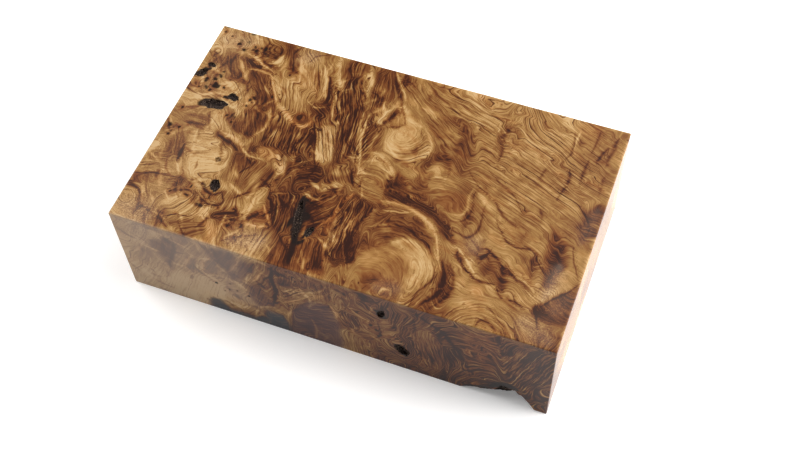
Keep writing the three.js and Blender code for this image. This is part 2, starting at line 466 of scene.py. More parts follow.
        ((141, 50), (143, 42), (145, 40), (145, 60), (142, 64), (139, 67.5), (136.5, 69), (136.5, 66.5),
         (139, 60)),
        0.05,
    ),
    Facet(((145, 60.5), (141, 65.5), (138, 69), (134.5, 71.5), (135, 75), (138, 76), (145, 75)), -0.9),
    Facet(((145, 74.5), (140, 76.5), (137, 79.5), (140, 84), (145, 84)), -0.25, turn=70),
)

TOP_STROKES = (
    # Left back corner: pale wood, small red knots, a swirl and the brown folds below it.
    Stroke(((18.6, 2.6), (18, 5), (18.8, 7.4), (21.4, 8.6)), 0.7, -0.7),
    Stroke(((20.2, 2.8), (19.6, 5), (20.6, 6.8), (22.6, 7)), 0.5, -0.8),
    Stroke(((21.6, 3.2), (21.2, 4.8), (22.4, 5.6)), 0.4, -0.7),
    Stroke(((23, 2.4), (24, 4.6), (23.4, 7), (22.4, 8.2)), 0.45, -0.6),
    Stroke(((25, 6.5), (24.8, 9), (23, 10.6)), 0.8, 0.9),
    Stroke(((23.5, 11.5), (26, 12), (27, 10.5)), 1.1, -0.5),
    Stroke(((16, 7.5), (19, 10), (23, 12)), 0.8, -0.55),
    Stroke(((14, 9), (18, 10.5), (21, 12.2), (25, 14)), 0.45, 0.9, glow=0.5),
    Stroke(((14, 11.8), (20, 13), (26, 14.4)), 1.4, -0.55),
    Stroke(((17, 15.6), (21, 14.9), (24, 15.5)), 0.6, 0.6, glow=0.4),
    Stroke(((24.5, 15.5), (27, 19), (30, 23.5), (32.5, 27)), 0.5, 0.7, glow=0.5),
    Stroke(((34.5, 6), (36, 3), (40, 1)), 0.3, -0.5),
    Stroke(((29, 3), (32, 9), (34, 14)), 1.6, -0.5),
    Stroke(((31.5, 5), (34, 11), (35.5, 15.5)), 0.5, 0.5, glow=0.4),
    # Knots at the left end, with golden lines and pale wood between them.
    Stroke(((6, 31), (10, 29), (15, 28)), 0.6, 0.5, glow=0.3),
    Stroke(((14, 30.5), (17, 32.5), (21, 33.5)), 0.5, 0.6),
    Stroke(((12, 21.5), (16, 20.8), (19, 21.5)), 0.5, -0.4, glow=0.6),
    Stroke(((11, 25), (15, 24.5), (20, 28)), 1.8, 0.35),
    Stroke(((28, 29), (29.5, 30)), 1.2, -0.7, glow=0.4),
    Stroke(((23, 26.5), (24.5, 27)), 0.7, -0.7, glow=0.4),
    Stroke(((31, 29), (32, 34), (32, 38), (30, 41)), 0.5, 0.5, glow=0.3),
    # Golden pillow and the folds round it.
    Stroke(((10.5, 51.5), (14, 50)), 0.3, -0.5),
    Stroke(((14, 54.5), (19, 53)), 0.3, -0.35),
    Stroke(((10.6, 52), (10.8, 56), (11.2, 59)), 0.6, -0.9),
    Stroke(((1.5, 46), (2.5, 47.5)), 0.9, -0.8),
    Stroke(((7, 43.5), (10, 43), (13, 42.5)), 0.7, -0.55),
    Stroke(((20, 43), (24, 44), (27, 45.5), (29.5, 48)), 0.6, 0.6, glow=0.4),
    Stroke(((19, 44.5), (23, 46), (27, 48)), 0.9, -0.55),
    Stroke(((34.5, 50), (35, 52), (33.5, 54.5), (32, 57)), 0.3, -0.6),
    Stroke(((28.5, 45), (30, 48), (33, 49.5), (37, 49.7)), 0.35, 0.75),
    Stroke(((34, 46), (38, 46.5), (42, 47)), 1.5, 0.3, glow=0.4),
    Stroke(((31.5, 46), (33.5, 47)), 1.2, -0.7),
    Stroke(((41, 46), (44, 49.5), (46, 53)), 1, 0.75, glow=0.3),
    Stroke(((36.5, 51), (38, 54), (36, 60)), 1, -0.35),
    Stroke(((38.5, 55), (37.5, 59)), 1.5, 0.35),
    Stroke(((42.5, 51), (41.5, 57), (39, 63)), 0.7, -0.5),
    Stroke(((41, 61), (42.5, 63)), 1.8, 0.4),
    Stroke(((26.5, 53.5), (26.5, 56)), 0.7, 0.4),
    # The knot below the pillow and the left front: swirls, brown folds and orange edges.
    Stroke(((22.5, 64.5), (25, 66.5), (28, 67.5), (30, 66)), 0.5, -0.8),
    Stroke(((22.2, 64.2), (23.8, 64.6)), 0.8, -0.7),
    Stroke(((21.5, 67.5), (25, 69.5), (29, 71), (32, 69), (30.5, 65.5)), 0.4, -0.8),
    Stroke(((23, 67), (27, 69)), 1.1, -0.25),
    Stroke(((30, 62), (32, 64.5)), 0.9, 0.45),
    Stroke(((0, 67.5), (6, 66), (10, 65.2), (15, 64.5)), 0.4, -0.6),
    Stroke(((0, 64.5), (6.5, 62)), 0.3, -0.6),
    Stroke(((15.5, 64), (18, 66)), 1.5, -0.5),
    Stroke(((15, 66), (16.5, 69), (18, 70)), 0.35, 0.6),
    Stroke(((16, 69.5), (20, 68.5), (24, 70)), 0.4, -0.6),
    Stroke(((0, 73), (3, 72.3), (6, 74), (8, 76.5)), 0.5, -0.7, glow=0.4),
    Stroke(((0, 71.5), (3.5, 71), (7, 73)), 0.5, 0.4),
    Stroke(((24.5, 71.8), (26.5, 72.2)), 0.9, -0.8),
    Stroke(((31, 74.5), (35, 72), (39.5, 71)), 0.9, -0.55),
    Stroke(((30, 75.5), (35, 74.5), (40, 73)), 0.5, -0.5),
    Stroke(((17, 79.5), (20, 77.5), (24, 76.8), (27, 75)), 0.35, -0.65),
    Stroke(((20, 82), (22, 83.5)), 0.8, 0.45),
    Stroke(((16, 78.5), (15, 82)), 0.6, -0.5),
    Stroke(((29, 77), (33, 79), (34, 82)), 1.5, 0.3, glow=0.5),
    Stroke(((34, 77), (38, 76.5)), 1.4, -0.35),
    Stroke(((41, 74.5), (42, 76)), 0.9, -0.7),
    Stroke(((45, 65.5), (47, 68), (48.8, 70.5)), 0.45, 0.8, glow=0.9),
    Stroke(((42, 73.5), (45, 74), (49, 72.5)), 0.5, 0.55, glow=0.7),
    Stroke(((38, 82), (42, 79), (47, 77)), 0.4, -0.55),
    # Steep flames behind the middle.
    Stroke(((36, 15), (41, 15.5), (43, 18)), 1.8, 0.4, glow=0.2),
    Stroke(((41, 7), (43, 11), (45, 17), (46, 19)), 0.9, 0.8),
    Stroke(((39.5, 9), (41.5, 14), (43, 19)), 0.5, -0.5),
    Stroke(((44, 10), (46, 15), (47.5, 20)), 0.7, -0.6),
    Stroke(((44.5, 0), (46, 6), (48.5, 12)), 1, 0.85),
    Stroke(((48.5, 14.5), (50.5, 13.8), (52.5, 12.5)), 0.35, 0.6),
    Stroke(((48, 15), (50, 18.5), (51, 22)), 0.5, 0.7),
    Stroke(((55.5, 0.5), (57, 5), (58.5, 9), (59.2, 13.5)), 1, 1),
    Stroke(((50.5, 1), (51.5, 8), (52, 14)), 1.3, -0.4),
    Stroke(((53.5, 6), (55, 14), (54, 22)), 1.6, -0.4),
    Stroke(((60, 2), (60.5, 7)), 1, -0.4),
    Stroke(((63.5, 10), (62, 14), (59, 17)), 0.7, 0.45),
    Stroke(((64, 0.5), (66.5, 5), (69, 9), (71, 12)), 0.8, -0.6),
    Stroke(((64.5, 0.5), (67.5, 4.5), (70, 8), (71.5, 10.5)), 0.6, 0.6),
    Stroke(((65, 1.5), (68, 3)), 1.4, 0.8),
    Stroke(((42, 23), (46, 25), (50, 24.5)), 1.2, -0.5),
    Stroke(((40.5, 21.5), (43, 23), (45, 23.5), (48, 22.5)), 0.35, 0.6),
    Stroke(((41, 28.5), (42, 29.3)), 1.5, -0.9, glow=0.8),
    Stroke(((34, 28), (37, 29.5), (40, 31.5), (43.5, 32.5), (45.5, 30), (44, 27)), 0.7, 0.6, glow=0.8),
    # Dark stripes left of the middle and the golden wedge.
    Stroke(((35, 31), (36, 36), (35, 43)), 0.45, 0.35),
    Stroke(((38.5, 33), (38.5, 38), (40, 43)), 0.45, 0.3),
    Stroke(((45.5, 33), (46, 38), (45, 43)), 0.5, 0.45),
    Stroke(((41.5, 34), (42, 39), (43, 44)), 0.5, -0.35),
    Stroke(((47, 30), (49, 35), (51.5, 41), (53, 45)), 0.6, -0.7),
    Stroke(((49.2, 31.4), (50, 32.6)), 0.6, -0.7),
    Stroke(((54, 26.6), (55, 27.6)), 0.6, 0.7),
    Stroke(((60.5, 20), (60.8, 25), (62, 29.5), (63, 34)), 0.5, 0.5),
    Stroke(((62.8, 21), (63, 27), (64.2, 33), (66, 38), (68, 44)), 0.55, 0.85),
    Stroke(((64.5, 20), (65, 27), (65.8, 34)), 1, -0.7),
    Stroke(((68, 26), (67.5, 31), (66.5, 34.5)), 0.5, 0.4),
    Stroke(((62, 39), (65, 38.5), (66, 38)), 0.35, 0.55),
    # The pale teardrop, its rings and the brown bands behind it.
    Stroke(((69.5, 14), (67.5, 18), (66.8, 22), (68.5, 23)), 0.7, 0.5),
    Stroke(((70.5, 14.5), (69.8, 19), (68.5, 22.5)), 0.9, -0.6),
    Stroke(((71, 13), (73, 16.5), (75.3, 20.5)), 0.35, -0.7, glow=0.4),
    Stroke(((75.3, 20.8), (73, 22.5), (70, 24)), 0.4, -0.5),
    Stroke(((81, 22), (83, 25.5), (82, 29), (79.5, 30.5)), 0.8, -0.45),
    Stroke(((80, 18), (84, 22.5), (86.3, 27), (85, 31), (81, 34), (76, 33.5), (72, 30)), 0.6, 0.45),
    Stroke(((76, 1.5), (82, 6), (90, 10.5)), 0.6, -0.5),
    Stroke(((80, 12), (84, 15)), 1.6, 0.3),
    Stroke(((89, 25), (92, 28), (94.5, 33), (95, 36)), 0.8, -0.4),
    Stroke(((90, 38.5), (93, 37.2), (95, 37.5)), 0.4, 0.45),
    # Arcs below the teardrop, the thick dark arc and the steps beside it.
    Stroke(((66.5, 36), (70, 35), (74, 36.5), (78, 40), (79.5, 43)), 0.6, 0.5),
    Stroke(((67, 39.5), (71, 38), (75, 40), (77.5, 43)), 0.6, 0.35),
    Stroke(((78, 44), (81, 42), (84, 43.5)), 1.4, -0.3),
    Stroke(((78, 47.3), (85, 48.3), (92, 48.8), (98, 51.5), (104, 56.5)), 1.6, -1, crisp=1.5),
    Stroke(((80, 46.5), (88, 47), (95, 49)), 0.3, 0.4),
    Stroke(((104.5, 38), (103.8, 42), (104.6, 46), (103.5, 48.6), (98, 48.8)), 0.5, 0.35),
    Stroke(((105.6, 37.5), (105.2, 41), (106.4, 46), (105, 50.5), (101, 51.5)), 0.35, -0.4),
    Stroke(((110, 43), (110.2, 48), (110, 53), (108, 55.8), (105, 55.2), (100, 53)), 0.5, -0.6),
    Stroke(((105.5, 47), (107, 52)), 1.2, -0.45),
    # The large bullseye at the front.
    Stroke(((78.5, 51.5), (83, 50.8), (88, 51.5), (93, 53.5), (98, 57), (104, 68)), 0.6, 0.7, glow=0.5),
    Stroke(((80.5, 55), (84, 54), (88, 53)), 0.35, 0.7),
    Stroke(((78.5, 52.5), (81.5, 53.5)), 1.3, -0.5),
    Stroke(((79, 62), (84, 59.5), (88, 59)), 0.6, 0.4),
    Stroke(((86.5, 66), (92.5, 62.5), (96.5, 64), (98.6, 68), (98.6, 74), (97, 84)), 1.2, 0.5, crisp=1.5),
    Stroke(((79, 66), (80.5, 72)), 1.6, -0.35),
    Stroke(((89.5, 84), (90, 82), (92, 81.3), (93.8, 83)), 0.4, 0.55),
    Stroke(((104.5, 67), (106.5, 72), (106, 78), (103.5, 82)), 0.9, -0.85),
    Stroke(((107, 67), (109.5, 72), (109, 78), (106, 83)), 0.7, -0.5),
    Stroke(((102.5, 68), (103, 74), (100.5, 79), (100, 84)), 0.35, -0.7),
    # The arch over the bark seam, the seam itself and the red rays beside it.
    Stroke(((46, 60), (47, 52), (50, 46.5), (54, 45), (58, 48)), 1.3, -0.65),
    Stroke(((46.5, 54), (48.5, 47), (52, 44)), 0.3, 0.4),
    Stroke(((54.5, 51.5), (56.5, 53), (59, 54)), 0.8, 0.8),
    Stroke(((60, 47), (63, 46), (66, 44)), 1.2, 0.4),
    Stroke(((60, 53.5), (62, 52), (64, 50.5)), 1.2, 0.4),
    Stroke(((65.5, 43), (67, 46), (68, 49)), 0.7, -0.7),
    Stroke(((58, 63), (62, 58), (66, 53)), 0.35, 0.4, glow=0.3),
    Stroke(((59.5, 65), (63, 61.5), (66, 58)), 0.35, 0.4, glow=0.4),
    Stroke(((66.5, 55), (67, 60), (66.5, 63), (64, 66.5), (63, 70)), 0.5, 0.5, glow=1),
    Stroke(((69, 52), (68, 56)), 0.5, 0.5, glow=0.9),
    Stroke(((74, 53), (72, 58), (70, 64), (70, 70), (73, 77)), 1, -0.7),
    Stroke(((77, 56), (75.5, 61), (74.5, 66), (75, 72), (77, 76)), 0.9, -0.8),
    Stroke(((74.5, 57), (72.5, 64), (73, 70), (76, 76)), 0.35, 0.6, glow=0.5),
    Stroke(((69, 67), (67.5, 75), (70, 83)), 1.5, -0.6),
    Stroke(((78, 73), (78.5, 75), (77, 76.5)), 0.5, -0.7),
    Stroke(((55.5, 60.5), (56.5, 65), (57.8, 69), (58.8, 73)), 1, -1.8),
    Stroke(((58.8, 73), (59.5, 78), (60.5, 82)), 0.9, -1),
    Stroke(((61, 72), (62.5, 69.5), (63, 68)), 0.9, -1.2),
    # Right back: straight pale wood crossed by short dark bars.
    Stroke(((109.8, 8.5), (107.5, 12), (106.5, 16), (107.8, 20), (108, 24)), 0.8, -0.6),
    Stroke(((111, 14), (112, 16)), 0.9, -0.4),
    Stroke(((120.2, 18.6), (120.8, 18.8)), 0.6, -0.45),
    Stroke(((123, 22.5), (122.8, 27)), 0.5, -0.4),
    Stroke(((130.5, 21), (131.3, 24), (130, 33)), 0.55, -0.75),
    Stroke(((128, 6), (128.8, 10), (129, 14), (128, 17)), 0.5, -0.55),
    Stroke(((130, 4), (129.3, 8), (129.5, 13)), 0.3, 0.45),
    Stroke(((130.8, 8), (131, 10.5)), 1, -0.65),
    Stroke(((136, 1), (135.5, 7), (135, 12)), 0.4, -0.45),
    Stroke(((135, 15), (135, 20), (134.8, 26)), 0.5, -0.55),
    Stroke(((139.5, 8.5), (138.3, 12), (137.8, 15)), 0.5, -0.65),
    Stroke(((142, 4), (141.2, 9), (140.8, 15)), 0.8, -0.65),
    Stroke(((141.5, 20), (141.5, 27)), 0.7, -0.35),
    Stroke(((134, 32), (138, 34), (141, 38), (142, 42)), 0.35, -0.6),
    Stroke(((143.5, 31), (142, 36), (140, 41)), 1.2, -0.4),
    # Right middle: zigzag folds with dark slots.
    Stroke(((106, 38.6), (108, 40), (110, 42.5)), 0.7, 0.4),
    Stroke(((101, 32), (105, 36), (109, 38.8), (113, 41), (116, 44), (121, 47)), 0.35, -0.55),
    Stroke(((107, 29), (111, 33), (115, 35.2), (118, 37), (121, 41)), 0.3, -0.5),
    Stroke(((121.4, 40.4), (122.6, 41.6)), 1.2, -0.5),
    Stroke(((126, 39), (127.5, 42)), 0.5, -0.45),
    Stroke(((112, 40), (115, 43.5), (119, 46), (122, 47)), 0.5, -0.55),
    Stroke(((115, 47), (117, 50), (120, 53), (123, 54), (128, 53.6), (131, 57), (134, 60.5)), 0.4, -0.8),
    Stroke(((129, 56), (130, 60), (131, 63)), 1.2, -0.55),
    Stroke(((113.8, 55), (113.4, 59), (114, 63)), 1.4, -0.45),
    Stroke(((114, 58), (116, 57.8), (119, 60), (121.5, 62.5)), 0.5, -1),
    Stroke(((116.5, 58.5), (115, 61), (114.5, 63.5)), 0.7, -1.1),
    Stroke(((117.5, 61), (118, 67)), 1.6, -0.3),
    Stroke(((113, 62), (112, 65)), 1.2, 0.4),
    Stroke(((106.5, 61), (108, 63.5), (110, 65)), 0.8, -0.85),
    Stroke(((105.5, 60), (108, 61.5), (112, 65), (115, 68)), 0.4, 0.7),
    Stroke(((121.5, 62), (124, 63), (127, 65.5)), 0.6, -0.8),
    Stroke(((121.8, 63), (123.2, 66.5), (124, 70.5)), 1.1, -1.2),
    Stroke(((107, 62), (109, 65), (112, 67.5), (116, 69.3), (119, 69), (121.5, 68.6)), 0.4, -0.9),
    Stroke(((122.3, 69.5), (124, 72.4), (128, 72.6), (131.5, 74)), 0.4, -0.9),
    Stroke(((127, 64.5), (131, 66), (134, 71)), 0.6, 0.55),
    Stroke(((127, 65), (131.5, 67), (134.5, 72)), 0.35, -0.7),
    # Right front: rings at the edge, the pale sapwood streak and the dark corner.
    Stroke(((115, 80), (117, 77.5), (121, 77), (125, 79), (129, 83)), 0.35, -0.55),
    Stroke(((120.5, 84), (121.5, 81.5), (124, 81.5), (126, 84)), 0.4, -0.7),
    Stroke(((110.5, 84), (113, 80.5), (115.5, 77.5)), 0.3, -0.5),
    Stroke(((125, 75.5), (129, 77), (132, 80)), 0.3, -0.45),
    Stroke(((116, 72), (118, 73)), 1.8, 0.2, glow=0.5),
    Stroke(((136.5, 50), (137.3, 54), (138, 58)), 1, -0.6),
    Stroke(((139, 48), (141, 53), (144, 59)), 0.3, -0.6),
    Stroke(((145, 60.5), (141, 66), (136.5, 71)), 0.35, -0.7),
    Stroke(((136, 60), (134, 66)), 0.9, -0.4),
    Stroke(((134.5, 72.5), (136, 74), (138, 72)), 1.1, -1),
    Stroke(((134.8, 72), (136, 76), (137.5, 79)), 0.35, -0.8),
)

TOP_EYES = (
    Eye((15, 55), (17, 20), -15, 16),
    Eye((88, 73), (15, 17), 0, 17),
    Eye((79.5, 26.5), (6, 8.5), -20, 3),
    Eye((53, 62), (8, 14), 0, 9),
    Eye((122, 88), (11, 9), 0, 9),
    Eye((91, 83), (3, 2.6), 0, 4),
    Eye((3, 76), (6, 4.5), -15, 6),
    Eye((22, 5), (4, 3.4), 0, 6),
    Eye((12, 33), (6, 4), 0, 6),
    Eye((17, 29), (3, 2.4), 0, 4),
    Eye((3, 22), (5, 6), 0, 6),
    Eye((27, 64), (4, 4), 0, 5),
    Eye((23, 54), (2.4, 2.4), 0, 3),
    Eye((43, 29), (3, 3), 0, 4),
    Eye((10, 6), (4, 3), 30, 4),
    Eye((46, 68), (5, 4), 0, 5),
    Eye((99, 43), (6, 6), 0, 7),
    Eye((107, 49), (3.5, 5), 0, 4),
    Eye((118, 65), (4, 5), 0, 5),
    Eye((126.5, 69), (4, 4), 0, 4),
    Eye((108.5, 63), (3, 2), -40, 3),
    Eye((124, 57), (4, 3.5), 0, 3),
)

# The slate-coloured bark stain along the lower edge of the front.
SLATE_OUTLINE = (
    (28, 41), (29.5, 35), (33, 33.5), (36, 38), (44, 38.5),
    (49, 36), (51, 31), (56, 31), (57.5, 36), (58, 41),
)

FRONT_FACETS = (
    # Left third: pale wood with purple-brown folds.
    Facet(((0, 1), (50, 1), (46, 20), (50, 30), (30, 34), (26, 40), (0, 40)), 0.25, turn=62, soft=3),
    Facet(
        ((22, 22), (32, 20.5), (38, 25), (36, 32), (28, 34), (24, 40), (8, 40), (14, 30)),
        0.5, turn=70, soft=2,
    ),
    Facet(((0, 2), (6, 1), (5, 9), (0, 14)), -0.25, turn=55, soft=1.5),
    Facet(((6, 16), (10, 13), (12, 18), (9, 24), (5, 22)), -0.3, turn=70, soft=1),
    Facet(((1, 24), (6, 25), (7, 33), (2, 36)), 0.15, turn=50, soft=1),
    Facet(
        ((12.5, 9), (20.5, 4), (22, 8), (20, 14), (18, 23), (16.5, 21), (17, 16), (13, 15)),
        -0.55, turn=75, soft=1,
    ),
    Facet(((22, 3), (30, 2), (32, 7), (28, 11), (23, 10)), -0.25, turn=60, soft=1),
    Facet(((33, 2), (42, 1), (44.5, 3.5), (41, 9.5), (39, 13), (36, 11), (33.5, 6)), -0.8, turn=62, soft=0.9),
    Facet(
        ((45.5, 4.5), (50, 3.5), (47.5, 12), (44, 15), (39.5, 18.5), (38.8, 14.5), (42, 9.5)),
        -0.7, turn=62,
    ),
    Facet(((25, 12.5), (28.5, 12), (28, 16), (25.5, 20.5), (23, 19)), -0.65, turn=65),
    Facet(((30.5, 11), (35, 9.5), (37.5, 13), (34, 17), (30, 19.5)), -0.6, turn=62),
    Facet(((46.5, 18), (50, 17), (53, 26), (50, 31), (46, 27), (44.5, 23)), -0.6, turn=70, soft=1),
    Facet(((36, 20), (41, 19), (44, 24), (40, 27), (37, 25)), -0.3, turn=40),
    Facet(((10, 34), (16, 31), (19, 35), (14, 40), (9, 40)), -0.25, turn=65, soft=1),
    Facet(((0, 26), (24, 26), (26, 34), (24, 41), (0, 41)), 0.5, soft=3),
    Facet(((30, 19), (45, 20), (46, 32), (42, 37), (37, 37), (30, 30)), 0.5, soft=1.5),
    # Slate-coloured bark stain along the lower edge.
    Facet(SLATE_OUTLINE, -1.1, turn=20),
    # Purple-brown patch and the curly wood over it.
    Facet(
        ((66, 16), (69, 14), (73.5, 14.5), (75.5, 20), (75.5, 28), (77, 41), (57, 41), (58.5, 34),
         (60.5, 26), (63, 20)),
        -0.6, turn=20, soft=0.9,
    ),
    Facet(((56.5, 3), (63.5, 3), (64.5, 8.5), (60, 11), (57, 11.5)), -0.5, turn=80),
    Facet(
        ((57, 12), (63, 10.5), (69, 9), (69.5, 13.5), (66, 17), (62, 20), (58, 25), (56.5, 19)),
        0.15, turn=45,
    ),
    Facet(((63, 2), (70, 3), (69, 9), (64.5, 9)), -0.1, turn=80),
    Facet(((74.5, 4), (79, 6), (79.5, 13), (76, 17), (74, 12)), 0.15, turn=85),
    # Round the two knots.
    Facet(((79, 2), (82.5, 3), (82, 9), (80, 12.5), (78.8, 7)), -0.6, turn=-80),
    Facet(((77.5, 15), (83, 16), (84, 24), (79.5, 26), (76.5, 20)), -0.6, turn=-75),
    Facet(((84, 18), (88, 16), (94, 12), (97, 17), (93, 23), (88, 25), (84.5, 23)), 0.5),
    Facet(((75, 28), (78.5, 26), (86, 30), (89, 36), (87, 41), (74, 41)), 0.4, turn=-85, soft=1.2),
    Facet(((84, 29), (88, 28), (88.5, 34), (86.5, 36), (84.5, 33)), 0.25, turn=-80),
    Facet(((89.5, 28), (94, 31), (97, 34.5), (100, 38), (99, 41), (89.5, 41)), -0.55, glow=0.2),
    # Right third: darker wood that ends in grey.
    Facet(((82, 1), (145, 1), (145, 40), (82, 40)), -0.5, soft=4),
    Facet(((108, 1), (145, 1), (145, 41), (112, 41)), -0.5, soft=3),
    Facet(
        ((100, 14), (106, 10), (110, 16), (111, 28), (108, 38), (101, 40), (104, 30), (101, 22)),
        0.45, turn=-80,
    ),
    Facet(
        ((111, 17), (116, 16), (117.5, 22), (117, 28), (113, 30), (112, 38), (110.5, 28)),
        -0.6, turn=-75, soft=0.9,
    ),
    Facet(((118, 4), (127, 2), (127.5, 14), (126, 22), (119.5, 22), (116.5, 12)), 0.05, glow=0.5, soft=1.2),
    Facet(
        ((129, 2), (145, 2), (145, 40), (140, 40), (136, 32), (129, 28), (128, 14)),
        -0.3, turn=72, soft=1.5,
    ),
    Facet(((117, 38), (122, 30), (130, 28), (137, 32), (132, 36)), -0.5, soft=1.2),
)

# Saw dust that has stayed in the grain of the front, with a pale painted sheen laid in with it, and plum and
# slate-coloured stain from the bark, with their strengths as the tone.
FRONT_STAINS = {
    "dust_and_sheen": (
        Facet(((-2, -1), (46, -1), (44, 20), (47, 30), (30, 34), (26, 42), (-2, 42)), 0.9, soft=5),
    ),
    "plum": (
        Facet(((57, 41), (60, 26), (66, 16), (73, 15), (76, 24), (77, 41)), 0.9, soft=1),
        Facet(((33, 2), (42, 1), (49, 4), (46, 13), (40, 18), (36, 12)), 0.6, soft=1.5),
        Facet(((12.5, 9), (20.5, 4), (22, 8), (18, 23), (16, 20)), 0.5, soft=1.5),
        Facet(((46.5, 18), (50, 17), (54, 26), (50, 31), (45, 25)), 0.5, soft=1.5),
    ),
    "slate": (
        Facet(SLATE_OUTLINE, 1, soft=1),
    ),
}

FRONT_STROKES = (
    # Orange and golden lines.
    Stroke(((46, 0), (43.5, 6), (41, 11), (39, 13.5)), 0.5, 0.6, glow=0.9),
    Stroke(((34, 8), (31.5, 11), (30, 15), (29.5, 18)), 0.5, 0.5, glow=0.6),
    Stroke(((27, 11), (24.5, 15), (23, 18)), 0.6, 0.55, glow=0.5),
    Stroke(((28.3, 15), (27.8, 18)), 0.4, 0.6),
    Stroke(((10.5, 10), (8, 15), (5, 19)), 0.6, 0.5, glow=0.4),
    Stroke(((51, 8), (48, 14)), 0.7, 0.45, glow=0.5),
    Stroke(((10.5, 20), (9.5, 24)), 0.4, 0.4),
    Stroke(((66.5, 27), (67.5, 31), (67, 38), (66.8, 40)), 0.5, 0.6, glow=0.9),
    Stroke(((59.5, 26), (58, 31)), 0.5, 0.7, glow=0.4),
    Stroke(((74, 15), (75, 19), (75.5, 22)), 0.5, 0.6, glow=0.6),
    Stroke(((79.5, 24), (81, 28)), 0.5, 0.5, glow=0.5),
    Stroke(((80, 12), (83, 15), (87, 17)), 0.5, 0.5, glow=0.3),
    Stroke(((38, 33), (42, 34), (45, 31)), 0.6, 0.4),
    Stroke(((57, 22), (60, 20), (63, 17)), 0.5, 0.4, glow=0.4),
    Stroke(((59, 14), (62, 12.5), (61, 16)), 0.5, 0.4),
    Stroke(((66, 12), (68, 10), (69, 13)), 0.5, 0.4),
    Stroke(((73.5, 3), (74.2, 8), (73.6, 12)), 0.4, -0.6),
    Stroke(((69, 4), (70, 8), (69.5, 12)), 0.5, -0.45),
    Stroke(((86, 6), (88, 8), (87, 11)), 0.5, 0.4),
    # Cracks, folds and knots.
    Stroke(((55.5, 3), (54.8, 10), (55, 18), (53, 26)), 0.9, -0.9),
    Stroke(((21.5, 3), (21, 10), (18, 18), (17, 23)), 0.7, -0.6),
    Stroke(((24.8, 23), (24, 26)), 0.8, -0.6),
    Stroke(((31.5, 23), (32.8, 22.5)), 0.8, -0.5),
    Stroke(((39.5, 27), (41, 29.5)), 1.1, -0.8, glow=0.5),
    Stroke(((8, 14), (8, 18)), 0.9, -0.4),
    Stroke(((89.6, 15), (90, 20), (89.5, 24), (87, 28)), 0.4, -0.6),
    Stroke(((91, 4), (91.5, 8)), 0.7, -0.8),
    Stroke(((101, 5), (101.5, 12), (100, 16)), 0.6, -0.5),
    Stroke(((101, 21), (102, 25)), 1.3, -0.5),
    Stroke(((103, 25), (104, 31)), 0.9, -0.5),
    Stroke(((106, 24), (107, 31), (106, 37)), 0.5, -0.45),
    Stroke(((102, 3), (106, 6), (110, 9), (113, 13), (116, 18), (118, 24), (119.5, 30)), 0.7, -0.85),
    Stroke(((121, 6), (124, 11), (126, 15)), 1.2, -0.4, glow=0.5),
    # Nested layers at the right end.
    Stroke(((133, 3), (131, 9), (129, 14)), 0.5, -0.5),
    Stroke(((138, 3), (137, 10), (135, 16), (132, 21)), 0.5, -0.5),
    Stroke(((141, 5), (140.5, 13), (138, 22), (136, 28)), 0.5, -0.5),
    Stroke(((144, 8), (142, 16), (140.5, 24), (139, 30)), 0.5, -0.5),
    Stroke(((135, 4), (133.5, 9), (131, 13)), 0.5, 0.3),
    Stroke(((139.5, 6), (138.5, 13), (135.5, 20)), 0.5, 0.3),
)

FRONT_EYES = (
    Eye((91, 10), (5, 6), 0, 7),
    Eye((97, 28), (8, 9), 20, 10),
    Eye((136, 10), (9, 14), 0, 10),
    Eye((67, 40), (10, 14), 0, 9),
    Eye((41, 29), (4, 4), 0, 4),
)


def spot(path, width, strength):
    """A charred spot, with sharp sides."""
    return Stroke(path, width, strength, crisp=2)


